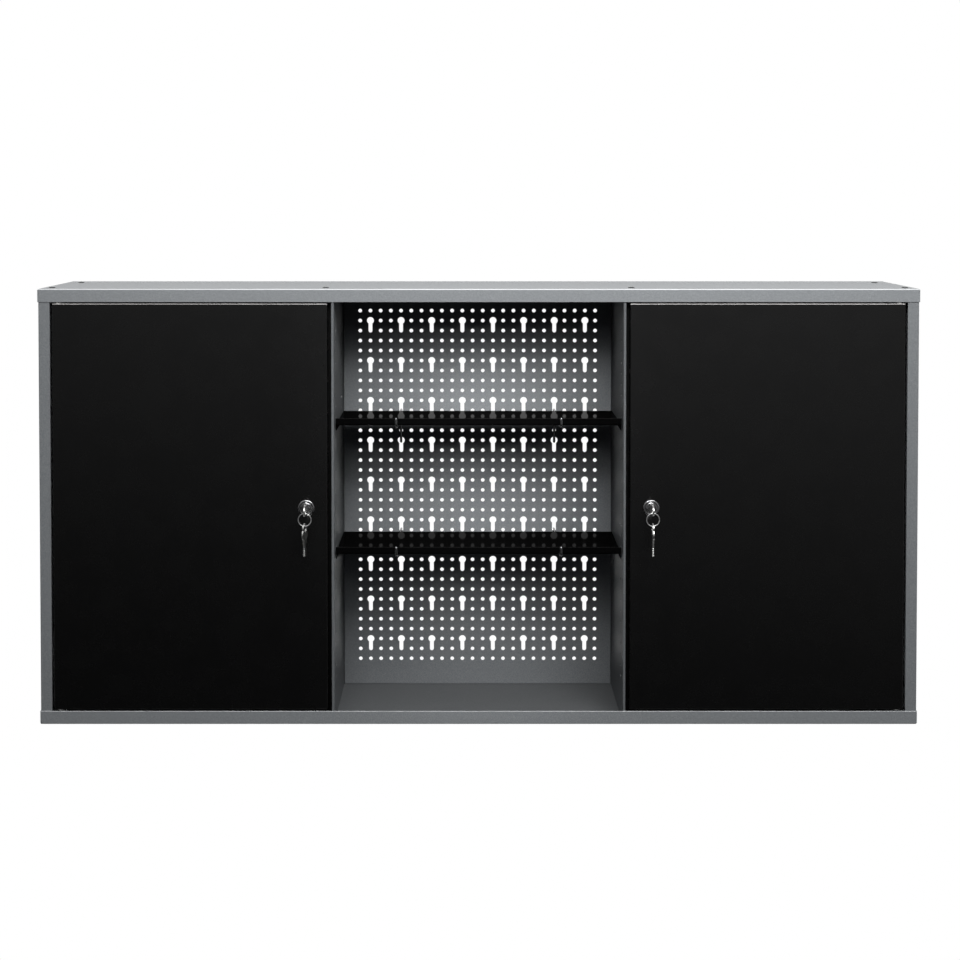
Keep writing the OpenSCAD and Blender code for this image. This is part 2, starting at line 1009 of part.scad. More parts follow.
// Flat cam, hanging down when the door is unlocked
module lock_cam(s) {
    color(steel)
        on_side(s)
            at_lock()
                translate([0, 0, -cam_front - cam_t])
                    difference() {
                        union() {
                            cylinder(r = cam_w / 2 + 1, h = cam_t);
                            translate([-cam_w / 2, -cam_reach + cam_w / 2, 0])
                                cube([cam_w, cam_reach - cam_w / 2, cam_t]);
                            translate([0, -cam_reach + cam_w / 2, 0])
                                cylinder(r = cam_w / 2, h = cam_t);
                        }
                        translate([-shank_w / 2, -shank_w / 2, -over])
                            cube([shank_w, shank_w, cam_t + 2 * over]);
                    }
}

module left_lock_cam() {
    lock_cam(-1);
}

module right_lock_cam() {
    lock_cam(1);
}

module cam_screw(s) {
    color(steel)
        on_side(s)
            at_lock()
                translate([0, 0, -cam_front - cam_t]) {
                    cylinder(r = cam_screw_r, h = cam_screw_l - 0.2);
                    translate([0, 0, -cam_screw_head_h])
                        cylinder(r = cam_screw_head_r, h = cam_screw_head_h);
                }
}

module left_cam_screw() {
    cam_screw(-1);
}

module right_cam_screw() {
    cam_screw(1);
}

// Flat key: notched blade, shoulder and a bow that narrows to the ring hole
module key_outline() {
    difference() {
        union() {
            translate([-blade_w / 2, blade_tip])
                square([blade_w, shoulder_start - blade_tip + over]);
            translate([-shoulder_w / 2, shoulder_start])
                square([shoulder_w, bow_pos - shoulder_start]);
            translate([0, bow_pos])
                circle(r = bow_r);
            translate([0, bow_hole_pos])
                circle(r = bow_end_r);
        }
        translate([0, bow_hole_pos])
            circle(r = bow_hole_r);
        for (i = [0 : notch_count - 1])
            for (s = [-1, 1])
                translate([s * (blade_w / 2 + 0.2 * (i % 2)), blade_tip + notch_pitch * (i + 0.8)])
                    circle(r = notch_r);
        for (s = [-1, 1])
            translate([s * blade_w / 2, blade_tip])
                rotate(45)
                    square(1.6, center = true);
    }
}

module inserted_key(s) {
    color(steel)
        on_side(s)
            at_lock()
                translate([-key_t / 2, 0, 0])
                    rotate([90, 0, 90])
                        linear_extrude(key_t)
                            key_outline();
}

module left_key() {
    inserted_key(-1);
}

module right_key() {
    inserted_key(1);
}

module key_ring(s) {
    color(steel)
        on_side(s)
            at_lock()
                translate([0, ring_centre, bow_hole_pos])
                    rotate_extrude()
                        translate([ring_r, 0])
                            circle(r = ring_wire_r);
}

module left_key_ring() {
    key_ring(-1);
}

module right_key_ring() {
    key_ring(1);
}

// Spare key, hanging from the bottom of the ring
module spare_key(s, turn) {
    color(steel)
        on_side(s)
            at_lock()
                translate([0, spare_hole - bow_hole_pos, bow_hole_pos])
                    rotate([0, 90 + turn, 0])
                        translate([0, 0, -key_t / 2])
                            linear_extrude(key_t)
                                key_outline();
}

module left_spare_key() {
    spare_key(-1, left_spare_turn);
}

module right_spare_key() {
    spare_key(1, 0);
}

top_panel();
top_panel_edges();
bottom_panel();
bottom_panel_edges();
left_side_panel();
left_side_folds();
right_side_panel();
right_side_folds();
left_divider();
left_divider_folds();
right_divider();
right_divider_folds();
perforated_board();
left_back_panel();
right_back_panel();
left_shelf_rails();
right_shelf_rails();
left_shelf_clips();
right_shelf_clips();
left_upper_inner_shelf();
left_lower_inner_shelf();
right_upper_inner_shelf();
right_lower_inner_shelf();
upper_shelf();
lower_shelf();
upper_shelf_brackets();
lower_shelf_brackets();
top_screws();
bottom_screws();
left_back_screws();
right_back_screws();
left_hinge_brackets();
right_hinge_brackets();
left_hinge_pins();
right_hinge_pins();
left_bump_stops();
right_bump_stops();
left_door();
right_door();
left_door_stiffener();
right_door_stiffener();
left_hinge_bushes();
right_hinge_bushes();
left_lock_barrel();
right_lock_barrel();
left_lock_nut();
right_lock_nut();
left_lock_plug();
right_lock_plug();
left_lock_cam();
right_lock_cam();
left_cam_screw();
right_cam_screw();
left_key();
right_key();
left_key_ring();
right_key_ring();
left_spare_key();
right_spare_key();
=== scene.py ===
import math

import bmesh
import bpy
from mathutils import Matrix, Vector


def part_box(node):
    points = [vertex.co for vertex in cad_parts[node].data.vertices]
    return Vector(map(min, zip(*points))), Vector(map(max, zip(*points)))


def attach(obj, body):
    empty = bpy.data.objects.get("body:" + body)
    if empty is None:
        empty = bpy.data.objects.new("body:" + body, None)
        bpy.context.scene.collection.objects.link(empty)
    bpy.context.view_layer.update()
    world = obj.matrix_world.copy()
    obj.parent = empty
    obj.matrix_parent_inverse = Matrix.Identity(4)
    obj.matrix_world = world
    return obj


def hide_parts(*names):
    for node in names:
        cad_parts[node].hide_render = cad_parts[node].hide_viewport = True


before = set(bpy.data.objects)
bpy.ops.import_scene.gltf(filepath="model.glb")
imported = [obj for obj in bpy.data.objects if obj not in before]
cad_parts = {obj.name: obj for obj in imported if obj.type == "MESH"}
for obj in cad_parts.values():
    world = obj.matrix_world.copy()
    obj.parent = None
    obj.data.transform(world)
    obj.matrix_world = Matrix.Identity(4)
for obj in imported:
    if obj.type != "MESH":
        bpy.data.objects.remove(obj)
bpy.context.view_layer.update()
MM = 0.001

# Viewpoint of the photograph: straight on, from a little above the cabinet, with a medium long
# lens. The small tilt keeps the shift low.
def add_object(name, data):
    """Puts new data into the scene as an object."""
    made = bpy.data.objects.new(name, data)
    bpy.context.scene.collection.objects.link(made)
    return made


camera_data = bpy.data.cameras.new("photo_camera")
camera_data.sensor_width = 36
camera_data.lens = 60.43
camera_data.shift_x = 0.0162
camera_data.shift_y = -0.25
camera_data.clip_end = 50
camera = add_object("photo_camera", camera_data)
camera.location = (-0.0194, -2.3851, 0.4230)
camera.rotation_euler = (math.radians(90 - 1.535), 0, 0)
bpy.context.scene.camera = camera
bpy.context.scene.view_settings.view_transform = "Standard"


# Studio. A white surround, softboxes overhead, high in front, low behind and faint at both sides,
# a column of soft spots on the open bay, and a pale floor well below the hanging cabinet.
def shader_node(tree, kind, sockets=None, **properties):
    """Adds a node, sets its properties, and fills or links its sockets by name or number."""
    made = tree.nodes.new(kind)
    for name, value in properties.items():
        setattr(made, name, value)
    for name, value in (sockets or {}).items():
        if isinstance(value, bpy.types.NodeSocket):
            tree.links.new(value, made.inputs[name])
        else:
            made.inputs[name].default_value = value
    return made


def calculate(tree, operation, *values):
    """A Math node on numbers or sockets; gives its output socket."""
    return shader_node(tree, "ShaderNodeMath", dict(enumerate(values)), operation=operation).outputs[0]


def multiply(tree, product, *others):
    """The product of two or more numbers or sockets."""
    for other in others:
        product = calculate(tree, "MULTIPLY", product, other)
    return product


def blend_colours(tree, mask, low, high):
    """Mixes two colours by a mask; gives the colour socket."""
    sockets = {"Factor": mask, 6: low, 7: high}
    return shader_node(tree, "ShaderNodeMix", sockets, data_type="RGBA").outputs[2]


def noise(tree, place, scale, detail=2.0, roughness=0.5):
    """Soft noise from 0 to 1, with its scale in cells per metre."""
    sockets = {"Vector": place, "Scale": scale, "Detail": detail, "Roughness": roughness}
    return shader_node(tree, "ShaderNodeTexNoise", sockets).outputs["Fac"]


def ramp(tree, value, start, end=1.0, foot=0.0):
    """Rises from foot to 1 while the value goes from start to end."""
    sockets = {"Value": value, "From Min": start, "From Max": end, "To Min": foot}
    return shader_node(tree, "ShaderNodeMapRange", sockets).outputs[0]


def coordinates(tree, kind):
    """A piece's own Object or Normal coordinates, as X, Y and Z sockets."""
    source = shader_node(tree, "ShaderNodeTexCoord").outputs[kind]
    return shader_node(tree, "ShaderNodeSeparateXYZ", {0: source}).outputs


def empty_material(name):
    """A material without nodes, and its tree."""
    material = bpy.data.materials.new(name)
    material.use_nodes = True
    material.node_tree.nodes.clear()
    return material, material.node_tree


def mesh_data(name, shape):
    """Keeps a bmesh as mesh data."""
    data = bpy.data.meshes.new(name)
    shape.to_mesh(data)
    shape.free()
    return data


def face_towards(thing, aim):
    thing.rotation_euler = (Vector(aim) - thing.location).to_track_quat("-Z", "Y").to_euler()


def softbox(name, place, aim, width, height, power):
    light = bpy.data.lights.new(name, "AREA")
    light.shape = "RECTANGLE"
    light.size = width
    light.size_y = height
    light.energy = power
    lamp = add_object(name, light)
    lamp.location = place
    face_towards(lamp, aim)


softbox("overhead_softbox", (0, -0.6, 2.3), (0, -0.1, 0), width=2.6, height=1.4, power=11)
softbox("front_softbox", (0.25, -1.5, 1.2), (0, -0.2, 0), width=1.6, height=0.6, power=32)
softbox("rear_softbox", (0, 2.6, -0.9), (0, 0, 0), width=2.4, height=1.0, power=22)
for side in (-1, 1):
    softbox("side_softbox", (side * 2.6, 0.5, 0.9), (side * 0.6, 0, 0), width=1.0, height=1.4, power=9)

# A column of small spots, from low to high, aimed at the open bay. Together they throw the soft
# shadows of the top panel and the shelves on the perforated board. Barn doors keep them off the
# top panel.
behind_barn_doors = bpy.data.collections.new("behind_barn_doors")
spot_distance = 2.2
spot_elevations = (17.5, 23, 28, 33, 38)
upper_spots = (0.085, 300, (0.16, 0.25, 0.26, 0.21, 0.12))
lower_spots = (-0.17, 125, (0.05, 0.20, 0.34, 0.27, 0.14))
for aim_z, power, shares in (upper_spots, lower_spots):
    for elevation, share in zip(spot_elevations, shares):
        spot_data = bpy.data.lights.new(f"bay_spot_{aim_z}_{elevation}", "SPOT")
        spot_data.energy = power * share
        spot_data.spot_size = math.radians(10.5)
        spot_data.spot_blend = 1.0
        spot_data.shadow_soft_size = 0.13
        spot = add_object(spot_data.name, spot_data)
        height = math.radians(elevation)
        spot.location = (0, -spot_distance * math.cos(height), aim_z + spot_distance * math.sin(height))
        face_towards(spot, (0, 0, aim_z))
        spot.light_linking.receiver_collection = behind_barn_doors

world = bpy.data.worlds.new("studio_surround")
bpy.context.scene.world = world
world.use_nodes = True
world.node_tree.nodes.clear()
surround = world.node_tree
seen = shader_node(surround, "ShaderNodeLightPath").outputs
mirrored = calculate(surround, "MAXIMUM", seen["Is Glossy Ray"], seen["Is Transmission Ray"])
shown_white = calculate(surround, "MAXIMUM", seen["Is Camera Ray"], mirrored)
surround_colour = blend_colours(surround, shown_white, (0.035, 0.036, 0.039, 1), (1, 1, 1, 1))
backdrop_light = shader_node(surround, "ShaderNodeBackground", {"Color": surround_colour, "Strength": 1.0})
shader_node(surround, "ShaderNodeOutputWorld", {"Surface": backdrop_light.outputs[0]})

floor_depth = -1.6
floor_radius = 1.7
floor_mesh = bmesh.new()
bmesh.ops.create_circle(floor_mesh, cap_ends=True, segments=96, radius=floor_radius)
studio_floor = add_object("studio_floor", mesh_data("studio_floor", floor_mesh))
studio_floor.location = (0, -0.1, floor_depth)
floor_finish, tree = empty_material("studio_floor")
floor_place = shader_node(tree, "ShaderNodeTexCoord").outputs["Object"]
floor_tint = blend_colours(tree, noise(tree, floor_place, 60.0), (0.78, 0.78, 0.77, 1), (0.84, 0.84, 0.83, 1))
floor_seen = shader_node(tree, "ShaderNodeLightPath").outputs
floor_tint = blend_colours(tree, floor_seen["Is Diffuse Ray"], floor_tint, (0.25, 0.25, 0.25, 1))
floor_paint = shader_node(tree, "ShaderNodeBsdfPrincipled", {"Base Color": floor_tint, "Roughness": 0.8})
floor_white = shader_node(tree, "ShaderNodeEmission", {"Color": (1, 1, 1, 1), "Strength": 1.0})
floor_reach = shader_node(tree, "ShaderNodeVectorMath", {0: floor_place}, operation="LENGTH")
floor_fade = ramp(tree, floor_reach.outputs["Value"], 0.5, floor_radius, 0.55)
floor_share = multiply(tree, floor_fade, floor_seen["Is Camera Ray"])
floor_mix = shader_node(tree, "ShaderNodeMixShader", {"Fac": floor_share, 1: floor_paint.outputs[0],
                                                      2: floor_white.outputs[0]})
shader_node(tree, "ShaderNodeOutputMaterial", {"Surface": floor_mix.outputs[0]})
studio_floor.data.materials.append(floor_finish)

# Dark card in front of the cabinet, with a foot that reaches under it. It keeps the black doors and
# the chrome dark, with the soft gradient of the photograph: lighter towards the upper right.
card_y = -3.4
card_half_w = 3.4
card_low = -1.55
card_high = 2.2
card_steps = 40
card_reach = 125
card_sweep = 1.9
card_mesh = bmesh.new()
card_rows = []
for step in range(card_steps + 1):
    turn = math.radians(card_reach * (2 * step / card_steps - 1))
    x = card_half_w * math.sin(turn)
    y = card_y + card_sweep * (1 - math.cos(turn))
    outline = ((0.3 * x, 0.3 * y, card_low), (0.85 * x, 0.85 * y, card_low), (x, y, card_low + 0.5),
               (x, y, card_high))
    card_rows.append([card_mesh.verts.new(corner) for corner in outline])
for near, far in zip(card_rows, card_rows[1:]):
    for k in range(3):
        card_mesh.faces.new((near[k], far[k], far[k + 1], near[k + 1]))
dark_card = add_object("dark_card", mesh_data("dark_card", card_mesh))
for ray in ("camera", "diffuse", "shadow", "transmission", "volume_scatter"):
    setattr(dark_card, "visible_" + ray, False)
card_finish, tree = empty_material("dark_card")
card_place = coordinates(tree, "Object")
card_up = calculate(tree, "MULTIPLY_ADD", card_place["Z"], 0.19, 0.20)
card_right = calculate(tree, "MULTIPLY_ADD", card_place["X"], 0.03, card_up)
card_darkest, card_lightest = 0.012, 0.34
card_level = calculate(tree, "MINIMUM", calculate(tree, "MAXIMUM", card_right, card_darkest), card_lightest)
card_glow = shader_node(tree, "ShaderNodeEmission", {"Color": (1, 1, 1, 1), "Strength": card_level})
shader_node(tree, "ShaderNodeOutputMaterial", {"Surface": card_glow.outputs[0]})
dark_card.data.materials.append(card_finish)


# Top and bottom panels. Each is one 1.2 mm steel sheet with its four edges folded the same way,
# powder coated in a fine hammered silver grey like the rest of the carcass.
def start_group(name, inputs, outputs):
    """An empty node group with named sockets: {name: default} in, [names] out."""
    group = bpy.data.node_groups.new(name, "ShaderNodeTree")
    for socket, value in inputs.items():
        kind = "NodeSocketVector" if socket == "Vector" else "NodeSocketFloat"
        made = group.interface.new_socket(name=socket, in_out="INPUT", socket_type=kind)
        if value is not None:
            made.default_value = value
    for socket in outputs:
        group.interface.new_socket(name=socket, in_out="OUTPUT", socket_type="NodeSocketFloat")
    return group, group.nodes.new("NodeGroupInput").outputs


def hammered_grain():
    """Cells of a hammered powder coat, with finer flecks between them."""
    tree, given = start_group("hammered_grain", {"Vector": None, "Cell size": 0.0013}, ["Cells", "Flecks"])
    scale = calculate(tree, "DIVIDE", 1.0, given["Cell size"])
    cells = shader_node(tree, "ShaderNodeTexVoronoi", {"Vector": given["Vector"], "Scale": scale},
                        feature="SMOOTH_F1").outputs["Distance"]
    flecks = ramp(tree, noise(tree, given["Vector"], multiply(tree, scale, 1.7)), 0.32, 0.68)
    shader_node(tree, "NodeGroupOutput", {"Cells": cells, "Flecks": flecks})
    return tree


def edge_rub():
    """Where paint or plating is thin: a mask that is 1 on folded and cut edges."""
    tree, given = start_group("edge_rub", {"Vector": None, "Radius": 0.0009, "Amount": 1.0}, ["Mask"])
    rounded = shader_node(tree, "ShaderNodeBevel", {"Radius": given["Radius"]}, samples=4)
    facing = shader_node(tree, "ShaderNodeNewGeometry").outputs["Normal"]
    across = shader_node(tree, "ShaderNodeVectorMath", {0: rounded.outputs[0], 1: facing},
                         operation="DOT_PRODUCT")
    bare = calculate(tree, "SUBTRACT", 1.0, across.outputs["Value"])
    patches = noise(tree, given["Vector"], 220.0, 3.0)
    sharp = ramp(tree, multiply(tree, bare, patches), 0.02, 0.2)
    shader_node(tree, "NodeGroupOutput", {"Mask": multiply(tree, sharp, given["Amount"])})
    return tree


def settled_dust():
    """A thin film of workshop dust on what faces up, in soft patches."""
    tree, given = start_group("settled_dust", {"Vector": None, "Amount": 0.3}, ["Mask"])
    upward = ramp(tree, coordinates(tree, "Normal")["Z"], 0.6)
    patches = noise(tree, given["Vector"], 14.0, 5.0)
    grains = noise(tree, given["Vector"], 1900.0)
    shader_node(tree, "NodeGroupOutput", {"Mask": multiply(tree, patches, grains, upward, given["Amount"])})
    return tree


def fold_line():
    """A painted highlight on the folds that face up, between flats that lie square to the axes."""
    tree, given = start_group("fold_line", {"Vector": None, "Sharpness": 0.2}, ["Mask"])
    facing = coordinates(tree, "Normal")
    x, y, z = (calculate(tree, "ABSOLUTE", facing[axis]) for axis in "XYZ")
    largest = calculate(tree, "MAXIMUM", x, calculate(tree, "MAXIMUM", y, z))
    off_axis = ramp(tree, calculate(tree, "SUBTRACT", 1.0, largest), 0.01, given["Sharpness"])
    # The painted highlight is made uneven by noise (wear) and kept to folds that face up towards the lamps.
    wear = calculate(tree, "MULTIPLY_ADD", noise(tree, given["Vector"], 18.0, 4.0), 0.7, 0.45)
    upward = ramp(tree, facing["Z"], 0.1, 0.4)
    shader_node(tree, "NodeGroupOutput", {"Mask": multiply(tree, off_axis, wear, upward)})
    return tree


grain_group, rub_group = hammered_grain(), edge_rub()
dust_group, fold_highlight_group = settled_dust(), fold_line()


def start_finish(name, **fixed):
    """An empty material with a Principled shader; gives the tree, the shader and Object coordinates."""
    material, tree = empty_material(name)
    shader = shader_node(tree, "ShaderNodeBsdfPrincipled", {k.replace("_", " "): v for k, v in fixed.items()})
    shader_node(tree, "ShaderNodeOutputMaterial", {"Surface": shader.outputs[0]})
    return material, tree, shader, shader_node(tree, "ShaderNodeTexCoord").outputs["Object"]


def use_group(tree, group, place, **values):
    sockets = {name.replace("_", " "): value for name, value in values.items()}
    return shader_node(tree, "ShaderNodeGroup", {"Vector": place, **sockets}, node_tree=group).outputs


def finish_with(tree, shader, colour, roughness, height, depth, strength):
    """Links colour, roughness and a bump of some depth to a material's shader."""
    relief = shader_node(tree, "ShaderNodeBump", {"Height": height, "Distance": depth, "Strength": strength})
    for socket, source in (("Base Color", colour), ("Roughness", roughness), ("Normal", relief.outputs[0])):
        tree.links.new(source, shader.inputs[socket])


def silver_grey_coat(name, tint, shine=1.0):
    """Hammered silver-grey powder coat with a painted highlight on the folds that face up; a lower tint is
    darker, a lower shine is duller.
    """
    def shade(*tone):
        return tuple(tint * channel for channel in tone) + (1,)

    material, tree, shader, place = start_finish(name, Metallic=0.25 * shine, Specular_IOR_Level=0.5 * shine)
    grain = use_group(tree, grain_group, place, Cell_size=0.0014)
    tone = calculate(tree, "MULTIPLY_ADD", grain["Cells"], 0.55, multiply(tree, grain["Flecks"], 0.45))
    drift = multiply(tree, noise(tree, place, 5.0), 0.12)
    rub = use_group(tree, rub_group, place, Radius=0.0008, Amount=0.30)["Mask"]
    # fold: a painted highlight, a near-white line on the folds that face up.
    fold = use_group(tree, fold_highlight_group, place)["Mask"]
    dust = use_group(tree, dust_group, place, Amount=0.25)["Mask"]
    colour = blend_colours(tree, tone, shade(0.175, 0.187, 0.198), shade(0.355, 0.370, 0.382))
    for mask, over in ((drift, (0.20, 0.21, 0.22)), (rub, (0.42, 0.43, 0.44)), (fold, (0.80, 0.81, 0.82)),
                       (dust, (0.40, 0.39, 0.37))):
        colour = blend_colours(tree, mask, colour, shade(*over))
    rough = calculate(tree, "MULTIPLY_ADD", grain["Flecks"], 0.12, 0.44)
    relief = calculate(tree, "MULTIPLY_ADD", grain["Flecks"], 0.3, grain["Cells"])
    finish_with(tree, shader, colour, rough, relief, 0.07 * MM, 0.8)
    return material


carcass_coat = silver_grey_coat("hammered_silver_grey", tint=1.0)
# The top and bottom panels get a lighter copy of the same coat: painted light.
lit_panel_coat = silver_grey_coat("hammered_silver_grey_light", tint=1.2)


def ring_of_corners(x0, x1, y0, y1, radius, steps):
    """Points round a rectangle whose corners are turned on a radius."""
    if steps == 0:
        return [(x1, y1), (x0, y1), (x0, y0), (x1, y0)]
    points = []
    for turn, cx, cy in ((0, x1, y1), (90, x0, y1), (180, x0, y0), (270, x1, y0)):
        sx = 1 if cx == x1 else -1
        sy = 1 if cy == y1 else -1
        for k in range(steps + 1):
            a = math.radians(turn + 90 * k / steps)
            points.append((cx - sx * radius + radius * math.cos(a), cy - sy * radius + radius * math.sin(a)))
    return points


def fold_arc(cx, cy, radius, start, end, steps=4):
    """Points on a fold, in a section of the sheet, by angle in degrees."""
    turns = [math.radians(start + (end - start) * k / steps) for k in range(steps + 1)]
    return [(cx + radius * math.cos(a), cy + radius * math.sin(a)) for a in turns]


def bridge(mesh, first, second):
    for i, corner in enumerate(first):
        j = (i + 1) % len(first)
        mesh.faces.new((corner, first[j], second[j], second[i]))


def fold_pan(mesh, rect, section, place, corner, steps, closed=True):
    """Lays loops of a sheet's section round a rectangle and fills the first and last, if closed."""
    x0, x1, y0, y1 = rect
    loops = []
    for inset, depth in section:
        ring = ring_of_corners(x0 + inset, x1 - inset, y0 + inset, y1 - inset,
                               max(corner - inset, 0.12 * MM), steps)
        loops.append([mesh.verts.new(place(u, v, depth)) for u, v in ring])
    for first, second in zip(loops, loops[1:]):
        bridge(mesh, first, second)
    if closed:
        mesh.faces.new(loops[0])
        mesh.faces.new(loops[-1])
    return loops[0], loops[-1]


def pan_section(thick, bend, height, lip=0.0):
    """A folded sheet from the middle of its face outwards, over the edge and back inside."""
    inner = bend - thick
    section = fold_arc(bend, bend, bend, 270, 180)
    if lip:
        section += fold_arc(bend, height - bend, bend, 180, 90)
        section += [(lip - 0.2 * MM, height), (lip, height - 0.2 * MM), (lip, height - thick + 0.2 * MM),
                    (lip - 0.2 * MM, height - thick)]
        section += fold_arc(bend, height - bend, inner, 90, 180)
    else:
        section += [(0, height - 0.25 * MM), (0.25 * MM, height), (thick - 0.25 * MM, height),
                    (thick, height - 0.25 * MM)]
    return section + fold_arc(bend, bend, inner, 180, 270)


def finished_object(name, mesh, material, merge=True):
    """Turns a bmesh into a piece at the origin: closed, facing outwards, flats shaded flat."""
    if merge:
        bmesh.ops.remove_doubles(mesh, verts=mesh.verts, dist=0.002 * MM)
    bmesh.ops.recalc_face_normals(mesh, faces=mesh.faces)
    piece = add_object(name, mesh_data(name, mesh))
    piece.data.materials.append(material)
    return piece


def smooth_folds(piece, angle=32):
    """Smooth shading that leaves flats flat, baked into the mesh."""
    piece.data.shade_smooth()
    piece.data.set_sharp_from_angle(angle=math.radians(angle))
    weighted = piece.modifiers.new("fold_shading", "WEIGHTED_NORMAL")
    weighted.keep_sharp = True
    weighted.weight = 80
    bake_modifiers(piece)


def bake_modifiers(piece):
    shape = bpy.data.meshes.new_from_object(piece.evaluated_get(bpy.context.evaluated_depsgraph_get()))
    piece.modifiers.clear()
    piece.data = shape


def install(piece, body, slot, *nodes):
    """Puts a finished piece in its place: it rides on a body and stands for its CAD nodes."""
    smooth_folds(piece)
    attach(piece, body)
    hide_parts(*nodes)
    return piece


sheet = 1.2 * MM
panel_fold = 1.7 * MM
for level, corner in (("top", 2.2 * MM), ("bottom", 3.0 * MM)):
    low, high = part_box(level + "_panel")
    edges_low, edges_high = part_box(level + "_panel_edges")
    if level == "top":
        face_z, inward, flange = high.z, -1, high.z - edges_low.z
    else:
        face_z, inward, flange = low.z, 1, edges_high.z - low.z

    def on_tray(u, v, w, z=face_z, inward=inward):
        return (u, v, z + inward * w)
    shape = bmesh.new()
    fold_pan(shape, (low.x, high.x, low.y, high.y), pan_section(sheet, panel_fold, flange), on_tray, corner, 4)
    tray = install(finished_object(level + "_tray", shape, lit_panel_coat), "carcass", "carcass_paint",
                   level + "_panel", level + "_panel_edges")
    if level == "top":
        behind_barn_doors.objects.link(tray)
        behind_barn_doors.collection_objects[0].light_linking.link_state = "EXCLUDE"


# Side panels. Each is one folded sheet: a narrow front lip, the side and a rear flange, with
# flanges at both ends that take the screws of the top and bottom panels.
def bent_line(points, radius, steps=4):
    """The middle line of a folded sheet or a bent wire, as (point, direction) pairs."""
    points = [Vector(p) for p in points]
    line = [(points[0], (points[1] - points[0]).normalized())]
    for before, corner, after in zip(points, points[1:], points[2:]):
        back, ahead = (before - corner).normalized(), (after - corner).normalized()
        half = back.angle(ahead) / 2
        centre = corner + (back + ahead).normalized() * radius / math.sin(half)
        first = corner + back * radius / math.tan(half) - centre
        last = corner + ahead * radius / math.tan(half) - centre
        for k in range(steps + 1):
            out = first.slerp(last, k / steps) * radius
            line.append((centre + out, (-back).slerp(ahead, k / steps)))
    return line + [(points[-1], (points[-1] - points[-2]).normalized())]


def folded_strip(mesh, points, radius, along, low, high, thick=sheet):
    """A sheet folded along one direction, with its two long cut edges eased."""
    ease = 0.25 * MM
    along = Vector(along)
    line = bent_line(points, radius)
    rows = []
    for i, (point, ahead) in enumerate(line):
        across = ahead.cross(along)
        if i in (0, len(line) - 1):
            inward = ahead if i == 0 else -ahead
            pair = [(point, thick / 2 - ease), (point + inward * ease, thick / 2)]
            rows += [(p, across * h) for p, h in (pair if i == 0 else pair[::-1])]
        else:
            rows.append((point, across * thick / 2))
    around = [p + h for p, h in rows] + [p - h for p, h in reversed(rows)]
    ends = [[mesh.verts.new(p + along * z) for p in around] for z in (low, high)]
    bridge(mesh, ends[0], ends[1])
    count = len(around)
    for end in ends:
        for i in range(count // 2 - 1):
            mesh.faces.new((end[i], end[i + 1], end[count - 2 - i], end[count - 1 - i]))


def plate(mesh, low, high, ease=0.25 * MM):
    """A flat plate with eased edges."""
    made = bmesh.ops.create_cube(mesh, size=1)
    size = Vector(high) - Vector(low)
    middle = (Vector(high) + Vector(low)) / 2
    for corner in made["verts"]:
        corner.co = Vector(c * s for c, s in zip(corner.co, size)) + middle
    edges = list({edge for corner in made["verts"] for edge in corner.link_edges})
    bmesh.ops.bevel(mesh, geom=edges, offset=ease, segments=1, affect="EDGES")


inner_fold = 0.75 * MM
flange_width = 28 * MM
flange_ends = (-180 * MM, -10 * MM)
rear_x = 578.8 * MM
lip_x = 583.4 * MM


def end_flanges(mesh, start, end, low, high):
    """The flanges at both ends of a side or divider, between two x places."""
    for z in (low.z, high.z - sheet):
        plate(mesh, (min(start, end), flange_ends[0], z), (max(start, end), flange_ends[1], z + sheet))


for side, s in (("left", -1), ("right", 1)):
    low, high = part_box(side + "_side_panel")
    outer_x = max(-low.x, high.x)
    middle_x, front, rear = outer_x - sheet / 2, low.y + sheet / 2, high.y - sheet / 2
    shape = bmesh.new()
    folded_strip(shape, [(s * lip_x, front, 0), (s * middle_x, front, 0), (s * middle_x, rear, 0),
                         (s * rear_x, rear, 0)], inner_fold, (0, 0, 1), low.z, high.z)
    end_flanges(shape, s * (outer_x - flange_width), s * (outer_x - sheet), low, high)
    install(finished_object(side + "_side", shape, carcass_coat), "carcass", "carcass_paint",
            side + "_side_panel", side + "_side_folds")


# Dividers. A sheet whose front edge is folded into a narrow nose and then into the flange that the
# door closes on. Two columns of holes, punched 15 mm apart, take the pins of the shelf clips.
def start_shape(name, inputs):
    """An empty Geometry Nodes tree with named inputs; gives the tree and its input sockets."""
    tree = bpy.data.node_groups.new(name, "GeometryNodeTree")
    tree.interface.new_socket(name="Geometry", in_out="INPUT", socket_type="NodeSocketGeometry")
    for socket, kind in inputs.items():
        tree.interface.new_socket(name=socket, in_out="INPUT", socket_type="NodeSocket" + kind)
    tree.interface.new_socket(name="Geometry", in_out="OUTPUT", socket_type="NodeSocketGeometry")
    return tree, shader_node(tree, "NodeGroupInput").outputs


def end_shape(tree, geometry, finish):
    whole = shader_node(tree, "GeometryNodeRealizeInstances", {"Geometry": geometry}).outputs[0]
    coated = shader_node(tree, "GeometryNodeSetMaterial", {"Geometry": whole, "Material": finish}).outputs[0]
    shader_node(tree, "NodeGroupOutput", {"Geometry": coated})


def grow(piece, tree, **values):
    """Runs a Geometry Nodes tree on a piece and keeps the result as its plain mesh."""
    modifier = piece.modifiers.new(tree.name, "NODES")
    modifier.node_group = tree
    for socket in tree.interface.items_tree:
        wanted = socket.name.replace(" ", "_")
        if socket.in_out == "INPUT" and wanted in values:
            modifier[socket.identifier] = values[wanted]
    bake_modifiers(piece)
    return piece


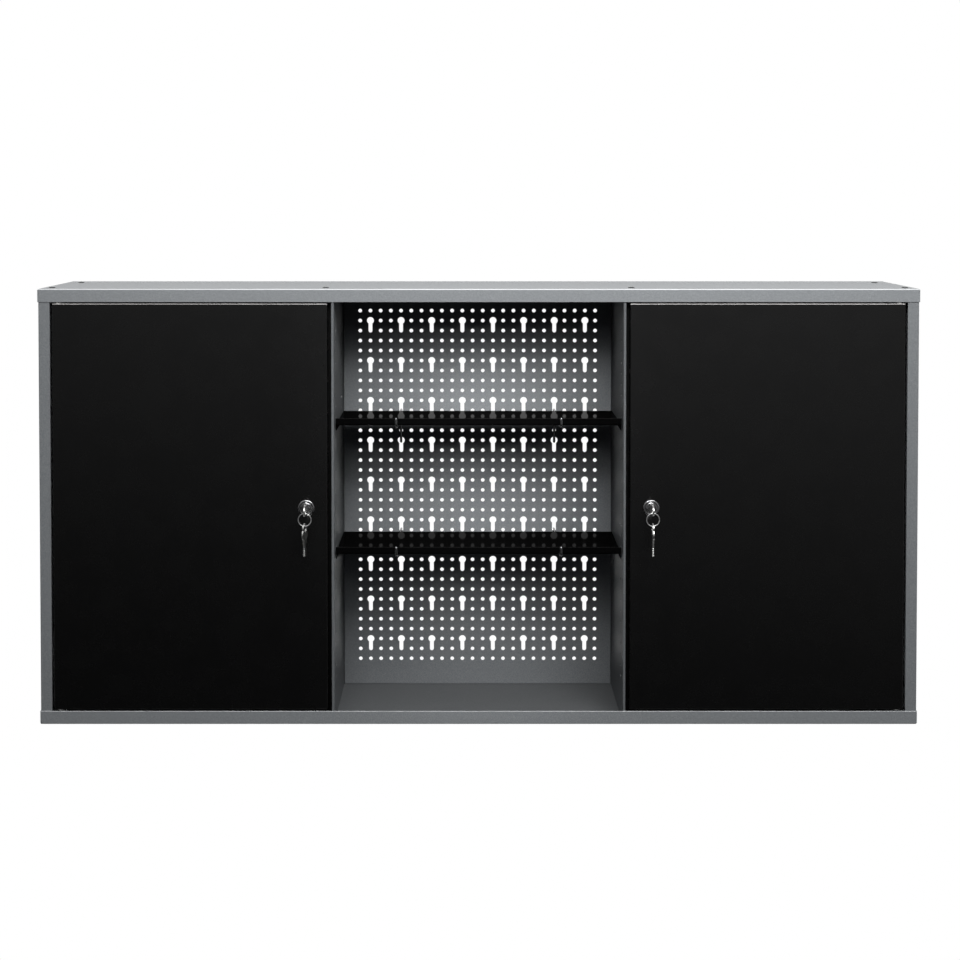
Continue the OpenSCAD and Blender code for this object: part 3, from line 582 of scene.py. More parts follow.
def punched_columns():
    """Two upright columns of round holes, cut through a sheet."""
    tree, given = start_shape("punched_columns", {
        "Holes": "Int", "Pitch": "Float", "Radius": "Float", "Depth": "Float", "First hole": "Vector",
        "Column step": "Vector", "Punch turn": "Rotation", "Finish": "Material"})
    step = shader_node(tree, "ShaderNodeCombineXYZ", {"Z": given["Pitch"]}).outputs[0]
    front = shader_node(tree, "GeometryNodeMeshLine", {
        "Count": given["Holes"], "Start Location": given["First hole"], "Offset": step}).outputs[0]
    rear = shader_node(tree, "GeometryNodeTransform", {"Geometry": front, "Translation": given["Column step"]})
    both = shader_node(tree, "GeometryNodeJoinGeometry", {"Geometry": front})
    tree.links.new(rear.outputs[0], both.inputs[0])
    punch = shader_node(tree, "GeometryNodeMeshCylinder", {"Vertices": 24, "Radius": given["Radius"],
                                                           "Depth": given["Depth"]}).outputs[0]
    punches = shader_node(tree, "GeometryNodeInstanceOnPoints", {
        "Points": both.outputs[0], "Instance": punch, "Rotation": given["Punch turn"]}).outputs[0]
    solid = shader_node(tree, "GeometryNodeRealizeInstances", {"Geometry": punches}).outputs[0]
    cut = shader_node(tree, "GeometryNodeMeshBoolean", {"Mesh 1": given["Geometry"], "Mesh 2": solid},
                      operation="DIFFERENCE", solver="EXACT").outputs[0]
    end_shape(tree, cut, given["Finish"])
    return tree


hole_punch = punched_columns()
clip_hole_count = 33
clip_pitch = 15 * MM
clip_hole_radius = 2.5 * MM
clip_column_y = (-168 * MM, -60 * MM)


def punch_clip_holes(piece, x, finish):
    return grow(piece, hole_punch, Holes=clip_hole_count, Pitch=clip_pitch, Radius=clip_hole_radius,
                Depth=3 * MM, First_hole=(x, clip_column_y[0], -clip_pitch * (clip_hole_count // 2)),
                Column_step=(0, clip_column_y[1] - clip_column_y[0], 0), Punch_turn=(0, math.pi / 2, 0),
                Finish=finish)


def paint_shade_black(material, make_mask):
    """Paints shade and dark reflections into a material: takes its colour down to black by a mask."""
    tree = material.node_tree
    shader = next(node for node in tree.nodes if node.type == "BSDF_PRINCIPLED")
    colour = shader.inputs["Base Color"].links[0].from_socket
    tree.links.new(blend_colours(tree, make_mask(tree), colour, (0.002, 0.002, 0.002, 1)),
                   shader.inputs["Base Color"])


def bay_floor_shade_mask(tree):
    """The inner face of the bottom panel between the dividers, where shade is painted into the coat."""
    place = coordinates(tree, "Object")
    inside = calculate(tree, "LESS_THAN", calculate(tree, "ABSOLUTE", place["X"]), flange_start)
    low = calculate(tree, "COMPARE", place["Z"], bay_floor_z, 0.5 * MM)
    behind = calculate(tree, "GREATER_THAN", place["Y"], bay_floor_front)
    return multiply(tree, inside, low, behind, bay_floor_shade_strength)


def nose_gap_shade_mask(tree):
    """The folds beside and behind the nose, painted black as shade to make a black line next to the door."""
    place = coordinates(tree, "Object")
    aside = calculate(tree, "GREATER_THAN", calculate(tree, "ABSOLUTE", place["X"]), flange_start)
    return multiply(tree, aside, calculate(tree, "COMPARE", place["Y"], nose_gap_middle, nose_gap_reach))


bay_floor_front = -198.5 * MM
bay_floor_shade_strength = 0.5
nose_gap_middle, nose_gap_reach = -187 * MM, 12 * MM
nose_width = 4.5 * MM
stop_reach, stop_y = 27 * MM, -182 * MM
rear_flange = 18 * MM
flange_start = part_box("right_divider")[0].x + nose_width - 1.0 * MM
# The dividers get a darker copy of the same coat: painted shade inside the bay.
shaded_inner_coat = silver_grey_coat("hammered_silver_grey_inner", tint=0.56, shine=0.3)
# Painted shade: the folds beside the nose go black next to the door.
paint_shade_black(shaded_inner_coat, nose_gap_shade_mask)
bay_floor_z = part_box("bottom_panel")[0].z + sheet
# Painted shade on the floor of the bay.
paint_shade_black(lit_panel_coat, bay_floor_shade_mask)
for side, s in (("left", -1), ("right", 1)):
    low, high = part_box(side + "_divider")
    bay_x = min(abs(low.x), abs(high.x))
    web_x, nose_x = bay_x + sheet / 2, bay_x + nose_width - sheet / 2
    front, rear = low.y + sheet / 2, high.y - sheet / 2
    shape = bmesh.new()
    folded_strip(shape, [(s * (bay_x + stop_reach), stop_y, 0), (s * nose_x, stop_y, 0), (s * nose_x, front, 0),
                         (s * web_x, front, 0), (s * web_x, rear, 0), (s * (bay_x + rear_flange), rear, 0)],
                 inner_fold, (0, 0, 1), low.z, high.z)
    divider = finished_object(side + "_divider_sheet", shape, shaded_inner_coat)
    punch_clip_holes(divider, s * web_x, shaded_inner_coat)
    flanges = bmesh.new()
    flanges.from_mesh(divider.data)
    end_flanges(flanges, s * (bay_x + flange_width), s * (bay_x + sheet), low, high)
    flanges.to_mesh(divider.data)
    flanges.free()
    install(divider, "carcass", "carcass_paint", side + "_divider", side + "_divider_folds")


# Back panels behind the doors. Each is a plain flat sheet in the same grey coat, with the holes for
# the wall screws, and lies against the rear flanges, where screws hold it.
def eased_copy(node, name, finish, ease, segments=2):
    """A CAD node's own shape, joined up, with every sharp edge eased."""
    shape = bmesh.new()
    shape.from_mesh(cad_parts[node].data)
    bmesh.ops.remove_doubles(shape, verts=shape.verts, dist=0.002 * MM)
    bmesh.ops.dissolve_limit(shape, angle_limit=math.radians(0.6), verts=shape.verts, edges=shape.edges)
    piece = finished_object(name, shape, finish)
    piece.data.materials.clear()
    piece.data.materials.append(finish)
    for face in piece.data.polygons:
        face.material_index = 0
    bevel = piece.modifiers.new("ease", "BEVEL")
    bevel.width = ease
    bevel.segments = segments
    bevel.limit_method = "ANGLE"
    bevel.angle_limit = math.radians(32)
    bevel.use_clamp_overlap = True
    bake_modifiers(piece)
    return piece


def install_copy(node, name, finish, ease, body, slot, segments=2):
    """Puts an eased copy of one CAD node in its place."""
    return install(eased_copy(node, name, finish, ease, segments), body, slot, node)


for side in ("left", "right"):
    install_copy(side + "_back_panel", side + "_back_sheet", carcass_coat, 0.2 * MM, "carcass",
                 "carcass_paint", 1)


# Perforated board of the bay. A shallow pan of the same sheet, punched with round holes and, in
# every third column, with keyholes for tool hooks.
def punched_cell(name, border, hole):
    """One cell of punched sheet. hole[i] lists the hole's points from border[i] to the next."""
    shape = bmesh.new()
    rim = [[shape.verts.new((x, y, z)) for x, z in border] for y in (0, sheet)]
    wall = [[[shape.verts.new((x, y, z)) for x, z in run] for run in hole] for y in (0, sheet)]
    count = len(border)
    for i in range(count):
        j = (i + 1) % count
        for level in (0, 1):
            corners = [rim[level][i], rim[level][j], wall[level][j][0]] + wall[level][i][::-1]
            shape.faces.new(corners if level == 0 else corners[::-1])
    around = [[v for run in level for v in run] for level in wall]
    for i, point in enumerate(around[0]):
        j = (i + 1) % len(around[0])
        shape.faces.new((point, around[0][j], around[1][j], around[1][i]))
    return add_object(name, mesh_data(name, shape))


pitch_x, pitch_z = 15 * MM, 14.7 * MM
columns, rows = 24, 36
top_row_z = 256 * MM
hole_radius = 2.75 * MM
keyhole_radius, slot_radius = 5.1 * MM, 2.85 * MM
parts_per_pitch = 4


def side_points(x0, z0, x1, z1, count):
    return [(x0 + (x1 - x0) * k / count, z0 + (z1 - z0) * k / count) for k in range(count)]


def arc_points(z, radius, start, end, count):
    turns = [math.radians(start + (end - start) * k / count) for k in range(count)]
    return [(radius * math.cos(a), z + radius * math.sin(a)) for a in turns]


def border_points(corners, counts):
    """Evenly spaced points along the straight sides between corners."""
    ends = zip(corners, corners[1:] + corners[:1], counts)
    return [point for start, end, count in ends for point in side_points(*start, *end, count)]


half_x, half_z = pitch_x / 2, pitch_z / 2
round_border = border_points([(half_x, half_z), (-half_x, half_z), (-half_x, -half_z), (half_x, -half_z)],
                             [parts_per_pitch] * 4)
round_cell = punched_cell("round_cell", round_border, [[p] for p in arc_points(0, hole_radius, 45, 405, 16)])
low_z = -half_z - pitch_z
key_border = border_points([(half_x, -half_z), (half_x, half_z), (-half_x, half_z), (-half_x, low_z),
                            (half_x, low_z)], [parts_per_pitch * n for n in (1, 1, 2, 1, 1)])
slot_top = math.degrees(math.asin(slot_radius / keyhole_radius))
head = arc_points(0, keyhole_radius, slot_top - 90, 270 - slot_top, 24)
head_end = (-slot_radius, -math.sqrt(keyhole_radius ** 2 - slot_radius ** 2))
slot_foot = arc_points(-pitch_z, slot_radius, 180, 360, 8)
key_hole = [[head[2 * i], head[2 * i + 1]] for i in range(12)]
slot_middle = -0.65 * pitch_z
key_hole += [[head_end], [(-slot_radius, slot_middle)]] + [[p] for p in slot_foot]
key_hole += [[(slot_radius, -pitch_z)], [(slot_radius, slot_middle)]]
key_cell = punched_cell("key_cell", key_border, key_hole)


def punched_board():
    """Lays round cells and keyhole cells on the board's grid and welds them to its border."""
    tree, given = start_shape("punched_board", {
        "Columns": "Int", "Rows": "Int", "Column pitch": "Float", "Row pitch": "Float", "First hole": "Vector",
        "Keyhole column step": "Float", "Keyhole row step": "Float", "Round cell": "Object",
        "Keyhole cell": "Object", "Finish": "Material"})

    def span(count, pitch):
        return multiply(tree, calculate(tree, "SUBTRACT", given[count], 1.0), given[pitch])

    width, height = span("Columns", "Column pitch"), span("Rows", "Row pitch")
    flat = shader_node(tree, "GeometryNodeMeshGrid", {
        "Size X": width, "Size Y": height, "Vertices X": given["Columns"], "Vertices Y": given["Rows"]})
    drop = shader_node(tree, "ShaderNodeCombineXYZ", {"X": multiply(tree, width, 0.5),
                                                      "Z": multiply(tree, height, -0.5)}).outputs[0]
    middle = shader_node(tree, "ShaderNodeVectorMath", {0: given["First hole"], 1: drop},
                         operation="ADD").outputs[0]
    grid = shader_node(tree, "GeometryNodeTransform", {
        "Geometry": flat.outputs[0], "Translation": middle, "Rotation": (math.pi / 2, 0, 0)}).outputs[0]
    here = shader_node(tree, "GeometryNodeInputPosition").outputs[0]
    offset = shader_node(tree, "ShaderNodeSeparateXYZ", {0: shader_node(
        tree, "ShaderNodeVectorMath", {0: here, 1: given["First hole"]}, operation="SUBTRACT").outputs[0]})

    def place_in_cycle(coordinate, pitch, step, sign):
        number = calculate(tree, "DIVIDE", offset.outputs[coordinate], given[pitch])
        number = calculate(tree, "ROUND", multiply(tree, number, sign))
        return calculate(tree, "MODULO", calculate(tree, "ADD", number, 0.01), given[step])

    in_columns = place_in_cycle("X", "Column pitch", "Keyhole column step", 1.0)
    in_rows = place_in_cycle("Z", "Row pitch", "Keyhole row step", -1.0)

    def is_place(value, wanted):
        return calculate(tree, "COMPARE", value, wanted, 0.1)

    keyed = is_place(in_columns, 1.0)
    heads = multiply(tree, keyed, is_place(in_rows, 1.0))
    feet = multiply(tree, keyed, is_place(in_rows, 2.0))
    plain = calculate(tree, "SUBTRACT", calculate(tree, "SUBTRACT", 1.0, heads), feet)
    together = shader_node(tree, "GeometryNodeJoinGeometry", {"Geometry": given["Geometry"]})
    for cell, chosen in (("Round cell", plain), ("Keyhole cell", heads)):
        source = shader_node(tree, "GeometryNodeObjectInfo", {"Object": given[cell]})
        laid = shader_node(tree, "GeometryNodeInstanceOnPoints", {
            "Points": grid, "Selection": chosen, "Instance": source.outputs["Geometry"]}).outputs[0]
        tree.links.new(laid, together.inputs[0])
    loose = shader_node(tree, "GeometryNodeRealizeInstances", {"Geometry": together.outputs[0]}).outputs[0]
    welded = shader_node(tree, "GeometryNodeMergeByDistance", {"Geometry": loose, "Distance": 0.01 * MM})
    end_shape(tree, welded.outputs[0], given["Finish"])
    return tree


low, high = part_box("perforated_board")
board_depth = high.y - low.y
first_x = -(columns - 1) / 2 * pitch_x
field = (first_x - half_x, -first_x + half_x, top_row_z - (rows - 0.5) * pitch_z, top_row_z + half_z)


def on_board(u, v, w):
    return (u, low.y + w, v)


shape = bmesh.new()
board_fold = 1.8 * MM
edge_rings = fold_pan(shape, (low.x, high.x, low.z, high.z), pan_section(sheet, board_fold, board_depth),
                      on_board, 0, 0, closed=False)
field_points = border_points([(field[1], field[3]), (field[0], field[3]), (field[0], field[2]),
                              (field[1], field[2])], [parts_per_pitch * n for n in (columns, rows) * 2])
for ring, depth in zip(edge_rings, (0, sheet)):
    inner = [shape.verts.new(on_board(u, v, depth)) for u, v in field_points]
    start = 0
    for corner, run in enumerate((columns, rows, columns, rows)):
        end = start + run * parts_per_pitch
        along = [inner[k % len(inner)] for k in range(start, end + 1)]
        shape.faces.new([ring[corner]] + along + [ring[(corner + 1) % 4]])
        start = end
# The board gets a darker copy of the same coat, as painted shade inside the bay, and shows black in glossy
# rays, a painted dark reflection in the shelves.
shaded_board_coat = silver_grey_coat("hammered_silver_grey_board", tint=0.60, shine=0.15)
paint_shade_black(shaded_board_coat, lambda tree: shader_node(tree, "ShaderNodeLightPath").outputs["Is Glossy Ray"])
board = finished_object("punched_board_sheet", shape, shaded_board_coat)
grow(board, punched_board(), Columns=columns, Rows=rows, Column_pitch=pitch_x, Row_pitch=pitch_z,
     First_hole=(first_x, low.y, top_row_z), Keyhole_column_step=3.0, Keyhole_row_step=4.0,
     Round_cell=round_cell, Keyhole_cell=key_cell, Finish=shaded_board_coat)
for cell in (round_cell, key_cell):
    bpy.data.objects.remove(cell)
welded = bmesh.new()
welded.from_mesh(board.data)
bmesh.ops.recalc_face_normals(welded, faces=welded.faces)
welded.to_mesh(board.data)
welded.free()
install(board, "carcass", "carcass_paint", "perforated_board")


# Shelf rails. Upright strips of the same coated steel, with the same two columns of clip holes as
# the dividers, welded inside the side panels.
for side in ("left", "right"):
    install_copy(side + "_shelf_rails", side + "_rails", carcass_coat, 0.25 * MM, "carcass", "carcass_paint", 1)


# Shelf clips. Small zinc-plated steel plates with a pin behind, which goes into a clip hole, and a
# ledge in front, on which a shelf rests.
def plated(name, dull, bright, roughness, streak=(1, 1, 1)):
    """Plated steel: a mottled tone, fine brushing and soft wear on the edges."""
    material, tree, shader, place = start_finish(name, Metallic=1.0)
    stretched = shader_node(tree, "ShaderNodeMapping", {"Vector": place, "Scale": streak}).outputs[0]
    mottle, brushing = noise(tree, place, 160.0, 4.0), noise(tree, stretched, 1500.0)
    colour = blend_colours(tree, mottle, dull, bright)
    rub = use_group(tree, rub_group, place, Radius=0.0004, Amount=0.6)["Mask"]
    colour = blend_colours(tree, rub, colour, bright)
    rough = calculate(tree, "MULTIPLY_ADD", brushing, 0.5 * roughness, 0.5 * roughness)
    rough = calculate(tree, "MULTIPLY_ADD", mottle, 0.4 * roughness, rough)
    finish_with(tree, shader, colour, rough, brushing, 0.01 * MM, 0.5)
    return material


zinc = plated("zinc_plate", dull=(0.15, 0.153, 0.158, 1), bright=(0.31, 0.315, 0.32, 1), roughness=0.25)
for side in ("left", "right"):
    install_copy(side + "_shelf_clips", side + "_clips", zinc, 0.3 * MM, "carcass", "zinc_plate")


# Shelves behind the doors. Folded trays of thin steel sheet, with their edges turned down, in glossy
# black powder coat. They lie loose on the clips.
def black_coat(name, roughness, level, peel, dust_amount, gloss, edge):
    """Smooth black powder coat: faint orange peel, hand smudges in the gloss, a little dust, and a painted
    highlight on the folds that face up, as strong as edge.
    """
    material, tree, shader, place = start_finish(name, IOR=gloss)
    cloud = noise(tree, place, 7.0, 4.0)
    colour = blend_colours(tree, cloud, tuple(0.75 * c for c in level) + (1,), level + (1,))
    rub = use_group(tree, rub_group, place, Radius=0.0007, Amount=0.25)["Mask"]
    colour = blend_colours(tree, rub, colour, (0.045, 0.045, 0.047, 1))
    # fold: a painted highlight on the folds that face up, weighted by edge.
    fold = use_group(tree, fold_highlight_group, place, Sharpness=0.1)["Mask"]
    colour = blend_colours(tree, multiply(tree, fold, edge), colour, (0.60, 0.58, 0.57, 1))
    dust = use_group(tree, dust_group, place, Amount=dust_amount)["Mask"]
    colour = blend_colours(tree, dust, colour, (0.22, 0.21, 0.20, 1))
    smudge = noise(tree, place, 26.0, 6.0, 0.62)
    rough = calculate(tree, "MULTIPLY_ADD", smudge, 0.10, roughness - 0.05)
    rough = calculate(tree, "MULTIPLY_ADD", dust, 0.5, rough)
    finish_with(tree, shader, colour, rough, noise(tree, place, 420.0, 1.0), peel, 0.6)
    return material


gloss_black = black_coat("glossy_black_coat", roughness=0.06, level=(0.0024, 0.0024, 0.0025),
                         peel=0.008 * MM, dust_amount=0.01, gloss=1.02, edge=0.03)
shelf_sheet = 1.0 * MM
shelf_fold, shelf_corner = 1.5 * MM, 1.8 * MM
for side in ("left", "right"):
    for level in ("upper", "lower"):
        node = f"{side}_{level}_inner_shelf"
        low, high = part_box(node)

        def under_shelf(u, v, w, top=high.z):
            return (u, v, top - w)
        shape = bmesh.new()
        fold_pan(shape, (low.x, high.x, low.y, high.y), pan_section(shelf_sheet, shelf_fold, high.z - low.z),
                 under_shelf, shelf_corner, 3)
        install(finished_object(node + "_tray", shape, gloss_black), "carcass", "black_gloss_paint", node)


# Open shelves of the bay. One sheet each, with a rounded fold up to the front lip and short ends
# folded down, in the same glossy black.
end_drop = 8 * MM
lip_fold = 2.7 * MM
for level in ("upper", "lower"):
    low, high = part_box(level + "_shelf")
    deck = low.z + end_drop - shelf_sheet / 2
    front = low.y + shelf_sheet / 2
    shape = bmesh.new()
    folded_strip(shape, [(0, high.y, deck), (0, front, deck), (0, front, high.z)], lip_fold, (1, 0, 0),
                 low.x, high.x, shelf_sheet)
    for x in (low.x, high.x - shelf_sheet):
        plate(shape, (x, low.y + lip_fold + shelf_sheet / 2, low.z),
              (x + shelf_sheet, high.y, deck - shelf_sheet / 2 + 0.1 * MM), 0.2 * MM)
    install(finished_object(level + "_open_shelf", shape, gloss_black), "carcass", "black_gloss_paint",
            level + "_shelf")


# Wire brackets under the open shelves. Zinc-plated 4 mm wire: an upturned nose holds the lip, the
# arm ends in a hook turned down behind the board, and a welded leg steadies it in a hole below.
def wire(mesh, line, radius, side_axis, sides=14):
    """A round wire along a bent line that lies flat across side_axis, with rounded ends."""
    side_axis = Vector(side_axis)
    rings = []
    first, last = line[0], line[-1]
    dome = [(0.96, 0.3), (0.75, 0.66), (0.38, 0.93)]
    stops = [(first[0] + first[1] * radius * (1 - h), first[1], radius * w) for w, h in reversed(dome)]
    stops += [(first[0] + first[1] * radius, first[1], radius)]
    stops += [(point, ahead, radius) for point, ahead in line[1:-1]]
    stops += [(last[0] - last[1] * radius, last[1], radius)]
    stops += [(last[0] - last[1] * radius * (1 - h), last[1], radius * w) for w, h in dome]
    for point, ahead, r in stops:
        lift = ahead.cross(side_axis)
        turns = [math.tau * k / sides for k in range(sides)]
        rings.append([mesh.verts.new(point + (side_axis * math.cos(a) + lift * math.sin(a)) * r)
                      for a in turns])
    for one, other in zip(rings, rings[1:]):
        bridge(mesh, one, other)
    mesh.faces.new(rings[0])
    mesh.faces.new(rings[-1])


wire_radius, leg_radius = 2.0 * MM, 1.9 * MM
bracket_x = 112.5 * MM
nose_y, hook_y, leg_y, leg_end_y = -198.2 * MM, -12 * MM, -24.2 * MM, -17 * MM
nose_rise, hook_drop = 13.5 * MM, 9 * MM
arm_bend, leg_bend = 4.6 * MM, 3 * MM
for level, arm_z, leg_drop in (("upper", 109 * MM, 46.3 * MM), ("lower", -67.4 * MM, 29.4 * MM)):
    shape = bmesh.new()
    for x in (-bracket_x, bracket_x):
        top = bent_line([(x, nose_y, arm_z + nose_rise), (x, nose_y, arm_z), (x, hook_y, arm_z),
                         (x, hook_y, arm_z - hook_drop)], arm_bend, 6)
        wire(shape, top, wire_radius, (1, 0, 0))
        leg = bent_line([(x, leg_y, arm_z), (x, leg_y, arm_z - leg_drop), (x, leg_end_y, arm_z - leg_drop)],
                        leg_bend, 6)
        wire(shape, leg, leg_radius, (1, 0, 0))
    node = level + "_shelf_brackets"
    install(finished_object(node + "_wire", shape, zinc, merge=False), "carcass", "zinc_plate", node)


# Screws of the carcass. Zinc-plated steel, with a domed head and a cross recess. They hold the top
# and bottom panels and the back panels, and each is driven home at its own turn.
def turned_part(mesh, profile, segments, place, hollow=False):
    """A turned shape from (radius, height) points; hollow joins the last point to the first."""
    rings = []
    for radius, height in profile:
        turns = [math.tau * k / segments for k in range(segments)]
        rings.append([mesh.verts.new(place(radius * math.cos(a), radius * math.sin(a), height))
                      for a in turns])
    for one, other in zip(rings, rings[1:]):
        bridge(mesh, one, other)
    if hollow:
        bridge(mesh, rings[-1], rings[0])
    else:
        mesh.faces.new(rings[0])
        mesh.faces.new(rings[-1])


def carve(piece, cutter):
    """Cuts a helper shape out of a piece and removes the helper."""
    cut = piece.modifiers.new("cut", "BOOLEAN")
    cut.operation = "DIFFERENCE"
    cut.solver = "EXACT"
    cut.object = cutter
    bake_modifiers(piece)
    bpy.data.objects.remove(cutter)
    return piece


def as_drawn(x, y, z):
    return (x, y, z)


def domed_screw(name, head_radius, head_height, shank_radius, shank_length):
    """A screw standing on Z, its head's underside at the origin."""
    ball = (head_radius ** 2 + head_height ** 2) / (2 * head_height)
    shape = bmesh.new()
    profile = [(shank_radius * 0.7, -shank_length), (shank_radius, -shank_length + 0.5 * MM),
               (shank_radius, 0), (head_radius - 0.15 * MM, 0), (head_radius, 0.12 * MM)]
    for k in range(1, 7):
        radius = head_radius * (1 - k / 6.6)
        profile.append((radius, head_height - ball + math.sqrt(ball ** 2 - radius ** 2)))
    turned_part(shape, profile, 28, as_drawn)
    screw = finished_object(name, shape, screw_zinc)
    cross = bmesh.new()
    arm, slot, deep = 0.48 * head_radius, 0.11 * head_radius, 0.62 * head_height
    plan = [(arm, slot), (slot, slot), (slot, arm), (-slot, arm), (-slot, slot), (-arm, slot), (-arm, -slot),
            (-slot, -slot), (-slot, -arm), (slot, -arm), (slot, -slot), (arm, -slot)]
    levels = []
    for shrink, z in ((0.55, head_height - deep), (1.15, head_height + 0.4 * MM)):
        levels.append([cross.verts.new((x * shrink, y * shrink, z)) for x, y in plan])
    bridge(cross, levels[0], levels[1])
    cross.faces.new(levels[0])
    cross.faces.new(levels[1])
    return carve(screw, finished_object("cross_recess", cross, screw_zinc))


def driven_screws():
    """Sets a screw at every point, each stopped at its own turn."""
    tree, given = start_shape("driven_screws", {"Screw": "Object", "Tilt": "Rotation", "Seed": "Int",
                                                "Finish": "Material"})
    source = shader_node(tree, "GeometryNodeObjectInfo", {"Object": given["Screw"]})
    spin = shader_node(tree, "FunctionNodeRandomValue", {"Seed": given["Seed"], 3: math.tau}, data_type="FLOAT")
    set_in = shader_node(tree, "GeometryNodeInstanceOnPoints", {
        "Points": given["Geometry"], "Instance": source.outputs["Geometry"],
        "Rotation": given["Tilt"]}).outputs[0]
    about = shader_node(tree, "ShaderNodeCombineXYZ", {"Z": spin.outputs[1]}).outputs[0]
    turned = shader_node(tree, "GeometryNodeRotateInstances", {"Instances": set_in, "Rotation": about})
    end_shape(tree, turned.outputs[0], given["Finish"])
    return tree


def point_set(name, points):
    data = bpy.data.meshes.new(name)
    data.from_pydata([tuple(p) for p in points], [], [])
    return add_object(name, data)


def screw_rim_shade_mask(tree):
    """The steep outer band of a screw's dome, where it stands upright, hangs or lies on its back: painted dark
    as shade round the dome.
    """
    facing = coordinates(tree, "Normal")
    y, z = (calculate(tree, "ABSOLUTE", facing[axis]) for axis in "YZ")
    return ramp(tree, calculate(tree, "MAXIMUM", z, y), 0.84, 0.74)


screw_zinc = plated("screw_zinc", dull=(0.30, 0.305, 0.31, 1), bright=(0.55, 0.56, 0.57, 1), roughness=0.3)
# Painted shade round the steep outer band of each screw's dome.
paint_shade_black(screw_zinc, screw_rim_shade_mask)
screw_driver = driven_screws()
panel_screw = domed_screw("panel_screw", head_radius=4.75 * MM, head_height=2.4 * MM,
                          shank_radius=2.0 * MM, shank_length=8 * MM)
panel_screw_places = [(586 * MM, -173 * MM), (210 * MM, -173 * MM), (577 * MM, -43 * MM)]
for level, tilt, seed in (("top", (0, 0, 0), 4), ("bottom", (math.pi, 0, 0), 9)):
    low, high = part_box(level + "_panel")
    z = high.z if level == "top" else low.z
    places = [(s * x, y, z) for s in (-1, 1) for x, y in panel_screw_places]
    screws = grow(point_set(level + "_panel_screws", places), screw_driver, Screw=panel_screw, Tilt=tilt,
                  Seed=seed, Finish=screw_zinc)
    install(screws, "carcass", "zinc_plate", level + "_screws")
back_screw = domed_screw("back_screw", head_radius=3.5 * MM, head_height=2.0 * MM,
                         shank_radius=1.5 * MM, shank_length=2.3 * MM)
back_screw_x, back_screw_z = (588.8 * MM, 206.5 * MM), (-240 * MM, 0, 240 * MM)
for side, s, seed in (("left", -1, 12), ("right", 1, 17)):
    back_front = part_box(side + "_back_panel")[0].y
    places = [(s * x, back_front, z) for x in back_screw_x for z in back_screw_z]
    screws = grow(point_set(side + "_back_panel_screws", places), screw_driver, Screw=back_screw,
                  Tilt=(math.pi / 2, 0, 0), Seed=seed, Finish=screw_zinc)
    install(screws, "carcass", "zinc_plate", side + "_back_screws")
for master in (panel_screw, back_screw):
    bpy.data.objects.remove(master)


# Hinges. A plated angle welded above and below each door holds a pin, which turns in a flanged
# nylon bush in the door's edge.
def moulded(name, dark, light, roughness, grain_scale):
    """Moulded plastic or rubber with a fine surface grain."""
    material, tree, shader, place = start_finish(name)
    cloud, grain = noise(tree, place, 90.0, 3.0), noise(tree, place, grain_scale)
    rough = calculate(tree, "MULTIPLY_ADD", grain, 0.2, roughness - 0.1)
    finish_with(tree, shader, blend_colours(tree, cloud, dark, light), rough, grain, 0.03 * MM, 0.6)
    return material


nylon = moulded("white_nylon", dark=(0.58, 0.57, 0.53, 1), light=(0.74, 0.73, 0.69, 1), roughness=0.42,
                grain_scale=1300.0)
rubber = moulded("black_rubber", dark=(0.012, 0.012, 0.012, 1), light=(0.03, 0.03, 0.03, 1), roughness=0.75,
                 grain_scale=1800.0)
for side in ("left", "right"):
    install_copy(side + "_hinge_brackets", side + "_hinge_angles", zinc, 0.3 * MM, "carcass", "zinc_plate")
    install_copy(side + "_hinge_pins", side + "_pins", zinc, 0.4 * MM, "carcass", "zinc_plate", 3)
    install_copy(side + "_hinge_bushes", side + "_bushes", nylon, 0.25 * MM, side + "_door", "bush_nylon")


# Bump stops. Black rubber buttons, moulded with a rounded edge and pressed into the stop flange,
# where the door's edge lands.
for side in ("left", "right"):
    install_copy(side + "_bump_stops", side + "_bumpers", rubber, 0.7 * MM, "carcass", "buffer_rubber", 4)


# Doors. Each is a pan of 1 mm sheet, folded back and then inward round all four sides, with a
# hat-shaped stiffener spot-welded inside, in satin black powder coat.
# The doors' folds carry the full painted highlight (edge=1.0).
satin_black = black_coat("satin_black_coat", roughness=0.27, level=(0.0028, 0.0028, 0.0029),
                         peel=0.022 * MM, dust_amount=0.05, gloss=1.5, edge=1.0)
door_sheet = 1.0 * MM
door_fold = 1.6 * MM
door_lip = 9 * MM
door_corner = 2.0 * MM
lock_x, lock_z, barrel_radius = 235 * MM, -1 * MM, 9 * MM
pivot = (572.2 * MM, -192.6 * MM)
bush_radius = 4 * MM


def drill(piece, place, axis, radius, length, segments=48):
    """Cuts a round hole through a piece."""
    bit = bmesh.new()
    bmesh.ops.create_cone(bit, cap_ends=True, segments=segments, radius1=radius, radius2=radius, depth=length)
    turn = Vector(axis).to_track_quat("Z", "Y").to_matrix().to_4x4()
    bmesh.ops.transform(bit, matrix=Matrix.Translation(place) @ turn, verts=bit.verts)
    return carve(piece, finished_object("drill_bit", bit, satin_black))


for side, s in (("left", -1), ("right", 1)):
    low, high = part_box(side + "_door")

    def on_door(u, v, w, face=low.y):
        return (u, face + w, v)
    shape = bmesh.new()
    section = pan_section(door_sheet, door_fold, high.y - low.y, door_lip)
    fold_pan(shape, (low.x, high.x, low.z, high.z), section, on_door, door_corner, 4)
    door = finished_object(side + "_door_pan", shape, satin_black)
    drill(door, (s * lock_x, low.y, lock_z), (0, 1, 0), barrel_radius, 6 * MM)
    drill(door, (s * pivot[0], pivot[1], 0), (0, 0, 1), bush_radius, 600 * MM, 32)
    install(door, side + "_door", "black_door_paint", side + "_door")
    install_copy(side + "_door_stiffener", side + "_stiffener", satin_black, 0.2 * MM, side + "_door",
                 "black_door_paint", 1)


